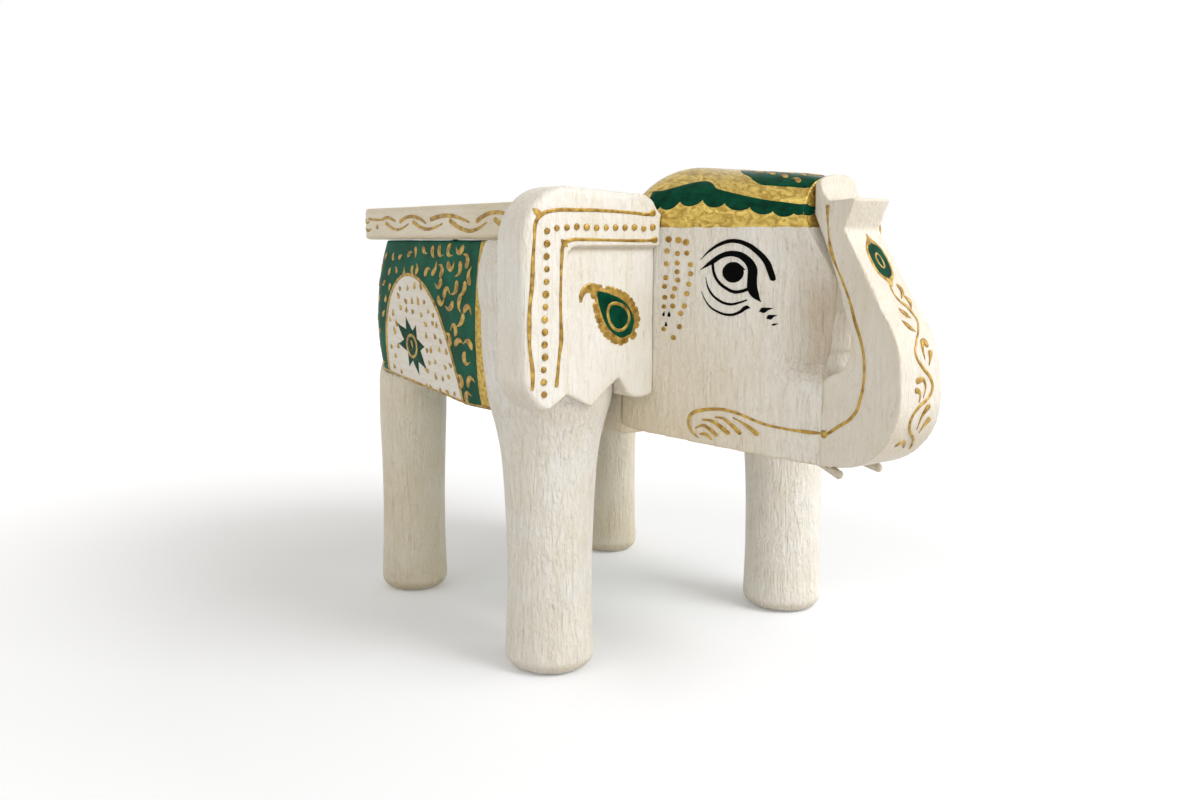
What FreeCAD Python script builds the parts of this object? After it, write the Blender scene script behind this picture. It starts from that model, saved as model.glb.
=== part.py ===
import FreeCAD, Part
import math
import os
import Sketcher
from FreeCAD import Vector, Placement, Rotation

# Painted wooden elephant that serves as a low side table.
# It looks along +X, its left side is +Y, it stands on z = 0. All sizes are in millimetres.
# Heights of the ears, shoulders, face and dowels count from the underside of the body,
# those of the trunk dowels from the foot of the trunk seam.

doc = FreeCAD.newDocument("ElephantTable")
sheet = doc.addObject("Spreadsheet::Sheet", "Sizes")

SIZES = [
    # Seat plank
    ("seat_length", 144.7),
    ("seat_width", 151),
    ("seat_thickness", 14.5),
    ("seat_corner_round", 5),
    ("seat_edge_round", 1.2),
    ("seat_front_gap", 0.3),
    # Body under the seat
    ("body_length", 107),
    ("body_height", 67.5),
    ("belly_width", 152),
    ("body_edge_width", 146),
    ("body_rear_bulge", 5),
    ("body_rear_round", 13),
    ("body_rear_rise", 9),
    ("body_rise_length", 82),
    # Chest between the shoulders
    ("chest_length", 32),
    ("chest_drop", 7.5),
    ("chest_edge_round", 1.5),
    # Head, a wedge with a domed cap
    ("head_back", 18),
    ("head_length", 76.5),
    ("head_rear_width", 75),
    ("head_crown_width", 72),
    ("head_crown_setback", 12),
    ("head_rise", 12.85),
    ("head_rear_drop", 6.5),
    ("head_front_drop", 6.5),
    ("head_rear_dip", 4),
    ("head_front_dip", 10.9),
    ("cheek_bulge", 1.2),
    ("brow_bulge", 0.6),
    ("dome_rear_height", 23),
    ("dome_front_height", 14),
    ("dome_rear_run", 26),
    ("dome_front_run", 7),
    ("head_nose_width", 20.4),
    ("face_relief", 7.2),
    ("face_slope_height", 23),
    ("brow_reach", 0.4),
    ("brow_height", 53.5),
    ("mouth_hollow", 1.3),
    ("mouth_height", 29.5),
    # Trunk board
    ("trunk_width", 22.4),
    ("trunk_depth", 32.1),
    ("seam_height", 30.5),
    ("trunk_bow_height", 24),
    ("trunk_bow_back", 8),
    ("trunk_throat_height", 19.4),
    ("trunk_throat_reach", 16),
    ("trunk_neck_drop", 19),
    ("trunk_taper_low", 19.5),
    ("trunk_taper_high", 73.5),
    ("trunk_tip_width", 18.6),
    ("trunk_tip_gap", 0.6),
    ("trunk_tip_rise", 101),
    ("trunk_tip_depth", 13.2),
    ("trunk_tip_cut", 4.5),
    ("trunk_scoop_depth", 9.2),
    ("trunk_scoop_back", 2.8),
    # Ears
    ("ear_reach", 95.25),
    ("ear_lap", 7),
    ("ear_height", 87.85),
    ("ear_thickness", 18.5),
    ("ear_tooth_height", 7.1),
    ("ear_tooth_run", 9.7),
    ("ear_tip_rise", 14.4),
    ("ear_notch_height", 13.1),
    ("ear_step_height", 17.1),
    ("ear_step_run", 3.6),
    ("ear_lobe_height", 11),
    ("ear_lobe_width", 17),
    ("ear_lobe_round", 3),
    ("ear_corner_round", 21),
    ("ear_top_fall", 3.4),
    ("ear_ridge_run", 15),
    ("ear_shoulder_drop", 9.35),
    ("ear_shoulder_run", 5),
    ("ear_shoulder_round", 4),
    ("ear_border_width", 19),
    ("ear_border_top", 22.85),
    ("ear_panel_depth", 2.4),
    ("ear_panel_round", 4),
    ("ear_edge_round", 3),
    ("ear_seat_height", 18.5),
    # Legs
    ("leg_length", 95.5),
    ("foot_round", 6),
    ("front_leg_spacing", 128),
    ("front_leg_setback", 10),
    ("front_foot_radius", 17.3),
    ("front_waist_radius", 16.5),
    ("front_knee_radius", 18),
    ("front_knee_drop", 19.5),
    ("shoulder_start_radius", 23),
    ("shoulder_start_height", 5.5),
    ("shoulder_radius", 26),
    ("shoulder_height", 40.5),
    ("shoulder_top_radius", 24),
    ("rear_leg_spacing", 116),
    ("rear_leg_inset", 16),
    ("rear_foot_radius", 15.5),
    ("rear_waist_radius", 14.6),
    ("rear_knee_radius", 15.5),
    ("rear_knee_drop", 21.5),
    ("haunch_radius", 15.8),
    ("haunch_lap", 22),
    ("haunch_top_radius", 8),
    # Tusks
    ("tusk_diameter", 3.1),
    ("tusk_length", 20.5),
    ("tusk_grip", 10.5),
    ("tusk_spacing", 13),
    ("tusk_droop", 14),
    ("tusk_splay", 12),
    ("tusk_lift", 3.6),
    # Dowels, nails and plugs
    ("glue_gap", 0.1),
    ("dowel_end_gap", 0.5),
    ("leg_dowel_diameter", 12),
    ("leg_dowel_length", 40),
    ("shoulder_dowel_diameter", 8),
    ("shoulder_dowel_length", 30),
    ("shoulder_dowel_spacing", 116),
    ("shoulder_dowel_low", 22.5),
    ("shoulder_dowel_high", 50.5),
    ("chest_dowel_diameter", 10),
    ("chest_dowel_length", 36),
    ("chest_dowel_spacing", 40),
    ("chest_dowel_height", 16.5),
    ("head_dowel_diameter", 10),
    ("head_dowel_length", 36),
    ("head_dowel_spacing", 40),
    ("head_dowel_height", 44.5),
    ("ear_dowel_diameter", 6),
    ("ear_dowel_length", 22),
    ("ear_dowel_spacing", 132),
    ("ear_dowel_low", 32.5),
    ("ear_dowel_high", 56.5),
    ("trunk_dowel_diameter", 6),
    ("trunk_dowel_length", 26),
    ("trunk_dowel_low", 7.9),
    ("trunk_dowel_high", 21.9),
    ("nail_diameter", 2.6),
    ("nail_length", 45),
    ("nail_head_diameter", 6),
    ("nail_head_height", 1.2),
    ("nail_point", 4),
    ("nail_inset", 26),
    ("nail_spacing", 88),
    ("plug_diameter", 8),
    ("plug_length", 4.5),
]

for number, (word, value) in enumerate(SIZES, start=1):
    sheet.set("A%d" % number, word)
    sheet.set("B%d" % number, str(value))
    sheet.setAlias("B%d" % number, word)
doc.recompute()


class Measure:
    """A length together with the sheet formula it comes from."""

    def __init__(self, value, text):
        self.value = float(value)
        self.text = text

    def joined(self, other, sign, value):
        return Measure(value, "(%s %s %s)" % (self.text, sign, other.text))

    def __add__(self, other):
        other = measure(other)
        return self.joined(other, "+", self.value + other.value)

    def __sub__(self, other):
        other = measure(other)
        return self.joined(other, "-", self.value - other.value)

    def __mul__(self, other):
        other = measure(other)
        return self.joined(other, "*", self.value * other.value)

    def __truediv__(self, other):
        other = measure(other)
        return self.joined(other, "/", self.value / other.value)

    def __neg__(self):
        return Measure(-self.value, "(0 - %s)" % self.text)

    def root(self):
        return Measure(self.value ** 0.5, "sqrt(%s)" % self.text)


def measure(thing):
    if isinstance(thing, Measure):
        return thing
    return Measure(thing, "(0 - %s)" % -thing if thing < 0 else "%s" % thing)


def size(word):
    return Measure(getattr(sheet, word), "Sizes.%s" % word)


def bind(thing, prop, amount):
    thing.setExpression(prop, measure(amount).text)


def new_body(label):
    body = doc.addObject("PartDesign::Body", label)
    body.Label = label
    return body


def new_sketch(body, name, plane, offset=0):
    """A sketch on one of the body's own planes, moved along that plane's normal."""
    sketch = body.newObject("Sketcher::SketchObject", name)
    support = [feature for feature in body.Origin.OriginFeatures if feature.Role == plane]
    sketch.AttachmentSupport = [(support[0], "")]
    sketch.MapMode = "FlatFace"
    offset = measure(offset)
    sketch.AttachmentOffset = Placement(Vector(0, 0, offset.value), Rotation())
    bind(sketch, "AttachmentOffset.Base.z", offset)
    return sketch


def pin(sketch, edge, end, point):
    for kind, amount in (("DistanceX", point[0]), ("DistanceY", point[1])):
        rule = sketch.addConstraint(Sketcher.Constraint(kind, -1, 1, edge, end, amount.value))
        bind(sketch, "Constraints[%d]" % rule, amount)


def outline(sketch, points, bends=None):
    """Closed outline, anticlockwise. A bend is the height of an edge's arc over its chord."""
    bends = bends or {}
    points = [(measure(a), measure(b)) for a, b in points]
    ends = []
    for number, start in enumerate(points):
        stop = points[(number + 1) % len(points)]
        first = Vector(start[0].value, start[1].value, 0)
        last = Vector(stop[0].value, stop[1].value, 0)
        if number not in bends:
            edge = sketch.addGeometry(Part.LineSegment(first, last), False)
            ends.append((edge, 1, 2))
            continue
        bend = bends[number]
        across = stop[0] - start[0]
        along = stop[1] - start[1]
        chord = (across * across + along * along).root()
        radius = chord * ((0.25 + bend * bend) / (2 * abs(bend)))
        left = Vector(first.y - last.y, last.x - first.x, 0) * (1 / chord.value)
        side = 1 if bend > 0 else -1
        middle = (first + last) * 0.5 - left * (bend * chord.value)
        arc = Part.Arc(first, middle, last) if side > 0 else Part.Arc(last, middle, first)
        edge = sketch.addGeometry(arc, False)
        ends.append((edge, 1, 2) if side > 0 else (edge, 2, 1))
        rule = sketch.addConstraint(Sketcher.Constraint("Radius", edge, radius.value))
        bind(sketch, "Constraints[%d]" % rule, radius)
    for number, (edge, start, stop) in enumerate(ends):
        after = ends[(number + 1) % len(ends)]
        sketch.addConstraint(Sketcher.Constraint("Coincident", edge, stop, after[0], after[1]))
        pin(sketch, edge, start, points[number])


def pad(body, sketch, length, both_ways=False):
    feature = body.newObject("PartDesign::Pad", body.Name + "Pad")
    feature.Profile = sketch
    bind(feature, "Length", length)
    if both_ways:
        feature.SideType = "Symmetric"
    return feature


def pocket(body, sketch, length, both_ways=False, forward=False):
    feature = body.newObject("PartDesign::Pocket", body.Name + "Pocket")
    feature.Profile = sketch
    bind(feature, "Length", length)
    feature.Reversed = forward
    if both_ways:
        feature.SideType = "Symmetric"
    return feature


def fillet(body, base, radius, wanted):
    """Round the edges of the last feature that the test picks out."""
    doc.recompute()
    names = []
    for number, edge in enumerate(base.Shape.Edges, start=1):
        if wanted(edge.BoundBox):
            names.append("Edge%d" % number)
    feature = body.newObject("PartDesign::Fillet", body.Name + "Fillet")
    feature.Base = (base, names)
    bind(feature, "Radius", radius)
    doc.recompute()
    return feature


def revolve(body, sketch, axis):
    feature = body.newObject("PartDesign::Revolution", body.Name + "Turned")
    feature.Profile = sketch
    feature.ReferenceAxis = (sketch, [axis])
    feature.Angle = 360
    return feature


def loft(body, sections):
    feature = body.newObject("PartDesign::AdditiveLoft", body.Name + "Loft")
    feature.Profile = sections[0]
    feature.Sections = sections[1:]
    return feature


def move(thing, x, y, z):
    for axis, amount in (("x", x), ("y", y), ("z", z)):
        bind(thing, "Placement.Base.%s" % axis, amount)


def rod(name, axis, start, diameter, length):
    """Round rod that starts at a point and runs along +X or +Z."""
    thing = doc.addObject("Part::Cylinder", name)
    if axis == "X":
        thing.Placement = Placement(Vector(0, 0, 0), Rotation(Vector(0, 1, 0), 90))
    bind(thing, "Radius", measure(diameter) / 2)
    bind(thing, "Height", length)
    move(thing, *start)
    return thing


def dowel(name, axis, centre, diameter, length):
    """A dowel halfway in each of two pieces, and the bore that it sits in."""
    x, y, z = [measure(amount) for amount in centre]
    reach = length / 2
    deep = reach + end_gap
    if axis == "X":
        peg = rod(name, axis, (x - reach, y, z), diameter, length)
        bore = rod(name + "_bore", axis, (x - deep, y, z), diameter + glue_gap * 2, deep * 2)
    else:
        peg = rod(name, axis, (x, y, z - reach), diameter, length)
        bore = rod(name + "_bore", axis, (x, y, z - deep), diameter + glue_gap * 2, deep * 2)
    return peg, bore


def group(label, things):
    compound = doc.addObject("Part::Compound", label)
    compound.Links = things
    compound.Label = label
    return compound


def cut(label, base, tools):
    feature = doc.addObject("Part::Cut", label)
    feature.Base = base
    feature.Tool = tools[0] if len(tools) == 1 else group(label + "_tools", tools)
    feature.Label = label
    return feature


def mirrored(label, source):
    feature = doc.addObject("Part::Mirroring", label)
    feature.Source = source
    feature.Normal = Vector(0, 1, 0)
    feature.Label = label
    return feature


# Levels and planes that the pieces share
glue_gap = size("glue_gap")
end_gap = size("dowel_end_gap")
under_body = size("leg_length")
under_seat = under_body + size("body_height")
seat_level = under_seat + size("seat_thickness")
head_level = seat_level + size("head_rise")
head_back = size("head_back")
head_front = head_back + size("head_length")
seat_front = head_back - size("seat_front_gap")
seat_rear = seat_front - size("seat_length")
body_front = head_back - size("chest_length")
body_rear = body_front - size("body_length")
ear_front = head_back + size("ear_thickness")
front_leg_x = head_back - size("front_leg_setback")
front_leg_y = size("front_leg_spacing") / 2
rear_leg_x = seat_rear + size("rear_leg_inset")
rear_leg_y = size("rear_leg_spacing") / 2
chest_half = size("head_rear_width") / 2
nape_bottom = under_body - size("head_rear_dip")
seam_bottom = under_body - size("head_front_dip")
seam_top = seam_bottom + size("seam_height")

# Dowels and the bores for them
both = (("left", 1), ("right", -1))
leg_pegs, leg_bores = [], {}
shoulder_pegs, shoulder_bores = [], {"left": [], "right": []}
chest_pegs, chest_bores = [], []
head_pegs, head_bores = [], []
ear_pegs, ear_bores = [], {"left": [], "right": []}
for side, sign in both:
    peg, bore = dowel("leg_dowel_" + side, "Z", (rear_leg_x, rear_leg_y * sign, under_body),
                      size("leg_dowel_diameter"), size("leg_dowel_length"))
    leg_pegs.append(peg)
    leg_bores[side] = bore
    for rank in ("low", "high"):
        peg, bore = dowel("shoulder_dowel_%s_%s" % (side, rank), "X",
                          (body_front, size("shoulder_dowel_spacing") / 2 * sign,
                           under_body + size("shoulder_dowel_" + rank)),
                          size("shoulder_dowel_diameter"), size("shoulder_dowel_length"))
        shoulder_pegs.append(peg)
        shoulder_bores[side].append(bore)
        peg, bore = dowel("ear_dowel_%s_%s" % (side, rank), "X",
                          (head_back, size("ear_dowel_spacing") / 2 * sign,
                           under_body + size("ear_dowel_" + rank)),
                          size("ear_dowel_diameter"), size("ear_dowel_length"))
        ear_pegs.append(peg)
        ear_bores[side].append(bore)
    peg, bore = dowel("chest_dowel_" + side, "X",
                      (body_front, size("chest_dowel_spacing") / 2 * sign,
                       under_body + size("chest_dowel_height")),
                      size("chest_dowel_diameter"), size("chest_dowel_length"))
    chest_pegs.append(peg)
    chest_bores.append(bore)
    peg, bore = dowel("head_dowel_" + side, "X",
                      (head_back, size("head_dowel_spacing") / 2 * sign,
                       under_body + size("head_dowel_height")),
                      size("head_dowel_diameter"), size("head_dowel_length"))
    head_pegs.append(peg)
    head_bores.append(bore)
trunk_pegs, trunk_bores = [], []
for rank in ("low", "high"):
    peg, bore = dowel("trunk_dowel_" + rank, "X", (head_front, 0, seam_bottom + size("trunk_dowel_" + rank)),
                      size("trunk_dowel_diameter"), size("trunk_dowel_length"))
    trunk_pegs.append(peg)
    trunk_bores.append(bore)

# Nails through the seat, each under a plug
nails, plugs, nail_bores = [], [], []
nail_seat = seat_level - size("plug_length") - size("nail_head_height")
nail_reach = size("nail_length") - size("nail_point")
for row, x in (("rear", body_rear + size("nail_inset")), ("front", body_front - size("nail_inset"))):
    for side, sign in both:
        y = size("nail_spacing") / 2 * sign
        tag = "%s_%s" % (row, side)
        head = rod("nail_head_" + tag, "Z", (x, y, nail_seat), size("nail_head_diameter"),
                   size("nail_head_height"))
        shank = rod("nail_shank_" + tag, "Z", (x, y, nail_seat - nail_reach),
                    size("nail_diameter"), nail_reach)
        point = doc.addObject("Part::Cone", "nail_point_" + tag)
        bind(point, "Radius1", 0)
        bind(point, "Radius2", size("nail_diameter") / 2)
        bind(point, "Height", size("nail_point"))
        move(point, x, y, nail_seat - size("nail_length"))
        nail = doc.addObject("Part::MultiFuse", "nail_" + tag)
        nail.Shapes = [head, shank, point]
        nails.append(nail)
        plugs.append(rod("plug_" + tag, "Z", (x, y, seat_level - size("plug_length")),
                         size("plug_diameter"), size("plug_length")))
        nail_bores.append(rod("plug_bore_" + tag, "Z", (x, y, nail_seat),
                              size("plug_diameter") + glue_gap * 2, seat_level - nail_seat + 5))
        nail_bores.append(rod("nail_bore_" + tag, "Z", (x, y, nail_seat - size("nail_length") - end_gap),
                              size("nail_diameter") + glue_gap * 2, size("nail_length") + end_gap))

# Seat plank, its edges rubbed round
seat_form = new_body("seat_form")
sketch = new_sketch(seat_form, "SeatOutline", "XY_Plane", under_seat)
half = size("seat_width") / 2
outline(sketch, [(seat_rear, -half), (seat_front, -half), (seat_front, half), (seat_rear, half)])
plank = pad(seat_form, sketch, size("seat_thickness"))
corners = fillet(seat_form, plank, size("seat_corner_round"),
                 lambda box: box.ZLength > 1 and box.XMax < seat_rear.value + 1)
fillet(seat_form, corners, size("seat_edge_round"),
       lambda box: box.ZLength < 0.01 and box.XMin < seat_front.value - 1)
seat_top = cut("seat_top", seat_form, nail_bores)

# Body, a block with barrel sides and a bulging rear end
body_form = new_body("body_form")
half = size("body_edge_width") / 2
barrel = ((size("belly_width") - size("body_edge_width")) / 2 / size("body_height")).value
sketch = new_sketch(body_form, "BodyOutline", "YZ_Plane", body_rear)
outline(sketch, [(-half, under_body), (half, under_body), (half, under_seat), (-half, under_seat)],
        {1: barrel, 3: barrel})
block = pad(body_form, sketch, size("body_length"))
bulge = size("body_rear_bulge")
sketch = new_sketch(body_form, "BodyRear", "XZ_Plane")
outline(sketch, [(body_rear - 5, under_body - 1), (body_rear + bulge, under_body - 1),
                 (body_rear + bulge, under_body), (body_rear + bulge, under_seat),
                 (body_rear + bulge, under_seat + 1), (body_rear - 5, under_seat + 1)],
        {2: -(bulge / size("body_height")).value})
rear = pocket(body_form, sketch, size("belly_width") * 2, both_ways=True)
fillet(body_form, rear, size("body_rear_round"),
       lambda box: box.ZLength > 0.9 * size("body_height").value and box.XMax < body_rear.value + 20)
sketch = new_sketch(body_form, "BodyUnderside", "XZ_Plane")
rise_front = body_rear + size("body_rise_length")
outline(sketch, [(body_rear, under_body - 1), (rise_front, under_body - 1), (rise_front, under_body),
                 (body_rear, under_body + size("body_rear_rise"))])
pocket(body_form, sketch, size("belly_width") * 2, both_ways=True)
body_block = cut("body_block", body_form, [leg_bores["left"], leg_bores["right"]] + shoulder_bores["left"]
                 + shoulder_bores["right"] + chest_bores + nail_bores)

# Chest between the shoulders
chest_form = new_body("chest_form")
sketch = new_sketch(chest_form, "ChestOutline", "YZ_Plane", body_front)
low = under_body - size("chest_drop")
outline(sketch, [(-chest_half, low), (chest_half, low), (chest_half, under_seat), (-chest_half, under_seat)])
block = pad(chest_form, sketch, size("chest_length"))
fillet(chest_form, block, size("chest_edge_round"),
       lambda box: box.XLength > 5 and box.ZMax < low.value + 1)
chest_block = cut("chest_block", chest_form, chest_bores + head_bores)

# Head, a row of arched sections from the nape to the face
head_form = new_body("head_form")
crown = head_back + size("head_crown_setback")
brow = head_front + size("brow_reach")
stations = [(head_back, chest_half, nape_bottom, head_level - size("head_rear_drop"),
             size("dome_rear_run"), size("dome_rear_height") - 3)]
for part in (0, 0.25, 0.5, 0.75, 1):
    rest = 1 - part
    hump = 4 * part * rest
    x = crown * rest + brow * part
    share = ((x - head_back) / size("head_length")).value
    stations.append((
        x,
        size("head_crown_width") / 2 * rest + size("head_nose_width") / 2 * part + size("cheek_bulge") * hump,
        nape_bottom * (1 - share) + seam_bottom * share,
        head_level - size("head_front_drop") * part + size("brow_bulge") * hump,
        size("dome_rear_run") * rest + size("dome_front_run") * part,
        size("dome_rear_height") * rest + size("dome_front_height") * part,
    ))
sections = []
for number, (x, half, low, high, run, rise) in enumerate(stations):
    sketch = new_sketch(head_form, "HeadSection%d" % number, "YZ_Plane", x)
    spring = high - rise
    flat = half - run
    arch = 0.2071 * 2 * (run * rise).value / (run * run + rise * rise).value
    outline(sketch, [(-half, low), (half, low), (half, spring), (flat, high), (-flat, high), (-half, spring)],
            {2: arch, 4: arch})
    sections.append(sketch)
wedge = loft(head_form, sections)
brow_level = under_body + size("brow_height")
face = head_front - size("face_relief")
sketch = new_sketch(head_form, "FaceRelief", "XZ_Plane")
outline(sketch, [
    (head_front, seam_bottom - 6),
    (brow + 5, seam_bottom - 6),
    (brow + 5, head_level + 5),
    (face, head_level + 5),
    (face, brow_level + size("face_slope_height")),
    (brow, brow_level),
    (brow - 0.5, brow_level - 11),
    (head_front - size("mouth_hollow"), under_body + size("mouth_height")),
    (head_front, seam_top),
], {4: 0.03, 5: -0.08, 7: 0.12})
pocket(head_form, sketch, size("head_rear_width") * 2, both_ways=True)

# Tusks, thin pegs let into the jaw
tusk_forms, tusk_bores = {}, {}
for side, sign in both:
    turn = Rotation(size("tusk_splay").value * sign, size("tusk_droop").value, 0)
    start = (head_front - size("tusk_grip"), size("tusk_spacing") / 2 * sign, seam_bottom + size("tusk_lift"))
    tusk = new_body("tusk_" + side)
    sketch = new_sketch(tusk, "TuskProfile" + side, "XZ_Plane")
    thick = size("tusk_diameter") / 2
    tip = size("tusk_length")
    outline(sketch, [(0, 0), (tip, 0), (tip - thick * 0.6, thick), (0, thick)], {1: 0.15})
    revolve(tusk, sketch, "H_Axis")
    tusk.Placement = Placement(Vector(0, 0, 0), turn)
    move(tusk, *start)
    tusk_forms[side] = tusk
    bore = doc.addObject("Part::Cylinder", "tusk_bore_" + side)
    bind(bore, "Radius", thick + glue_gap)
    bind(bore, "Height", tip)
    bore.Placement = Placement(Vector(0, 0, 0), turn * Rotation(Vector(0, 1, 0), 90))
    move(bore, *start)
    tusk_bores[side] = bore

head_block = cut("head_block", head_form,
                 head_bores + trunk_bores + [tusk_bores["left"], tusk_bores["right"]])

# Trunk, a sawn board that curls up in front of the face
trunk_form = new_body("trunk_form")
sketch = new_sketch(trunk_form, "TrunkOutline", "XZ_Plane")
reach = head_front + size("trunk_depth")
tip_back = face + size("trunk_tip_gap")
tip_top = seam_bottom + size("trunk_tip_rise")
tip_lip = tip_back + size("trunk_tip_depth") + size("trunk_tip_cut")
outline(sketch, [
    (head_front, seam_bottom),
    (head_front + 12, seam_bottom + 1.8),
    (reach, seam_top + 2),
    (reach - size("trunk_bow_back"), seam_top + size("trunk_bow_height")),
    (tip_back + size("trunk_tip_depth"), tip_top - size("trunk_neck_drop")),
    (tip_lip, tip_top - size("trunk_scoop_depth") + 0.7),
    (tip_back + size("trunk_scoop_back") + 4, tip_top - size("trunk_scoop_depth")),
    (tip_back + size("trunk_scoop_back"), tip_top),
    (tip_back + 1, tip_top),
    (tip_back, tip_top - 3),
    (tip_back, tip_top - 14),
    (tip_back + size("trunk_throat_reach"), seam_top + size("trunk_throat_height")),
    (head_front + 7.4, seam_top + 3.7),
    (head_front, seam_top),
], {1: 0.2, 2: 0.1, 6: -0.12, 8: 0.15, 10: -0.02, 11: -0.18, 12: 0.06})
pad(trunk_form, sketch, size("trunk_width"), both_ways=True)
half, tip_half = size("trunk_width") / 2, size("trunk_tip_width") / 2
for side, sign in both:
    sketch = new_sketch(trunk_form, "TrunkTaper" + side, "YZ_Plane")
    outline(sketch, [(tip_half * sign, seam_bottom + size("trunk_taper_high")),
                     (half * sign, seam_bottom + size("trunk_taper_low")),
                     ((half + 5) * sign, seam_bottom + size("trunk_taper_low")),
                     ((half + 5) * sign, tip_top + 5),
                     (tip_half * sign, tip_top + 5)])
    pocket(trunk_form, sketch, reach * 3, both_ways=True)
trunk = cut("trunk", trunk_form, trunk_bores + [tusk_bores["left"], tusk_bores["right"]])

# Front legs, round below and widening into the shoulders
front_form = new_body("front_leg_form")
sketch = new_sketch(front_form, "FrontLegProfile", "XZ_Plane")
foot, knee = size("front_foot_radius"), size("front_knee_radius")
foot_round, knee_height = size("foot_round"), under_body - size("front_knee_drop")
waist = (((foot + knee) / 2 - size("front_waist_radius")) / (knee_height - foot_round)).value
outline(sketch, [
    (0, 0),
    (foot - foot_round, 0),
    (foot, foot_round),
    (knee, knee_height),
    (size("shoulder_start_radius"), under_body + size("shoulder_start_height")),
    (size("shoulder_radius"), under_body + size("shoulder_height")),
    (size("shoulder_top_radius"), under_seat),
    (0, under_seat),
], {1: 0.2071, 2: -waist, 3: -0.03, 4: 0.03, 5: 0.08})
revolve(front_form, sketch, "V_Axis")
wide = size("shoulder_radius") * 2
sketch = new_sketch(front_form, "ShoulderBack", "XY_Plane")
flat = body_front - front_leg_x
outline(sketch, [(-wide, -wide), (flat, -wide), (flat, wide), (-wide, wide)])
pocket(front_form, sketch, under_seat + 5, forward=True)
sketch = new_sketch(front_form, "ShoulderInside", "XY_Plane")
flat = chest_half - front_leg_y
outline(sketch, [(-wide, -wide), (wide, -wide), (wide, flat), (-wide, flat)])
pocket(front_form, sketch, under_seat + 5, forward=True)
sketch = new_sketch(front_form, "EarSeat", "XY_Plane", under_body + size("ear_seat_height"))
flat = head_back - front_leg_x
outline(sketch, [(flat, -wide), (wide, -wide), (wide, wide), (flat, wide)])
pocket(front_form, sketch, under_seat, forward=True)
move(front_form, front_leg_x, front_leg_y, 0)
leg_front_left = cut("leg_front_left", front_form, shoulder_bores["left"] + ear_bores["left"])
leg_front_right = mirrored("leg_front_right", leg_front_left)

# Rear legs, scribed round the corner of the body
rear_form = new_body("rear_leg_form")
sketch = new_sketch(rear_form, "RearLegProfile", "XZ_Plane")
foot, knee = size("rear_foot_radius"), size("rear_knee_radius")
knee_height = under_body - size("rear_knee_drop")
waist = (((foot + knee) / 2 - size("rear_waist_radius")) / (knee_height - foot_round)).value
haunch_top = under_body + size("haunch_lap")
outline(sketch, [
    (0, 0),
    (foot - foot_round, 0),
    (foot, foot_round),
    (knee, knee_height),
    (size("haunch_radius"), under_body),
    (size("haunch_top_radius"), haunch_top),
    (0, haunch_top),
], {1: 0.2071, 2: -waist, 3: 0.01, 4: 0.1})
revolve(rear_form, sketch, "V_Axis")
move(rear_form, rear_leg_x, rear_leg_y, 0)
scribed = cut("rear_leg_scribed", rear_form, [body_form])
leg_rear_left = cut("leg_rear_left", scribed, [leg_bores["left"]])
leg_rear_right = mirrored("leg_rear_right", leg_rear_left)

# Ears, thick slabs with a sunk panel and a zigzag lower edge
ear_form = new_body("ear_form")
sketch = new_sketch(ear_form, "EarOutline", "YZ_Plane", head_back)
reach = size("ear_reach")
top = under_body + size("ear_height")
lobe = under_body + size("ear_lobe_height")
inner = chest_half - size("ear_lap")
step = inner + size("ear_lobe_width") + size("ear_step_run")
tooth = under_body + size("ear_tooth_height")
tip = tooth + size("ear_tip_rise")
round_off = size("ear_corner_round")
shoulder = top - size("ear_shoulder_drop")
fall = size("ear_top_fall")
ridge = reach - inner - size("ear_ridge_run")
corner = round_off / (ridge * ridge + fall * fall).root()
corner_turn = math.pi / 2 + math.atan((fall / ridge).value)
border = reach - size("ear_border_width")
outline(sketch, [
    (inner, lobe + size("ear_lobe_round")),
    (inner + size("ear_lobe_width"), lobe),
    (step, under_body + size("ear_step_height")),
    ((step + border) / 2, tooth),
    (border, under_body + size("ear_notch_height")),
    (border + size("ear_tooth_run"), tooth),
    (reach, tip),
    (reach, top - round_off),
    (reach - ridge * corner, top - fall * corner),
    (reach - ridge, top - fall),
    (inner + size("ear_shoulder_run"), shoulder),
    (inner, shoulder - size("ear_shoulder_round")),
], {0: 0.2, 5: 0.14, 7: math.tan(corner_turn / 4) / 2, 9: 0.16})
pad(ear_form, sketch, size("ear_thickness"))
sketch = new_sketch(ear_form, "EarPanel", "YZ_Plane", ear_front)
panel_top, panel_round = top - size("ear_border_top"), size("ear_panel_round")
outline(sketch, [(inner - 5, tooth - 5), (border, tooth - 5), (border, panel_top - panel_round),
                 (border - panel_round, panel_top), (inner - 5, panel_top)], {2: 0.2071})
panel = pocket(ear_form, sketch, size("ear_panel_depth"))
fillet(ear_form, panel, size("ear_edge_round"),
       lambda box: box.XLength < 0.01 and box.ZLength < size("ear_height").value * 0.75 and
       (box.YMax > reach.value - 0.01 and box.ZMin > tip.value - 0.5 or box.ZMin > (top - fall).value - 0.1))
ear_scribed = cut("ear_scribed", ear_form, [front_form])
ear_fitted = cut("ear_fitted", ear_scribed, [head_form])
ear_left = cut("ear_left", ear_fitted, ear_bores["left"])
ear_right = mirrored("ear_right", ear_left)

pieces = [
    seat_top, body_block, chest_block, head_block, trunk,
    ear_left, ear_right, leg_front_left, leg_front_right, leg_rear_left, leg_rear_right,
    tusk_forms["left"], tusk_forms["right"],
    group("leg_dowels", leg_pegs), group("shoulder_dowels", shoulder_pegs),
    group("chest_dowels", chest_pegs), group("head_dowels", head_pegs),
    group("ear_dowels", ear_pegs), group("trunk_dowels", trunk_pegs),
    group("seat_nails", nails), group("seat_plugs", plugs),
]
doc.recompute()

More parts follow.
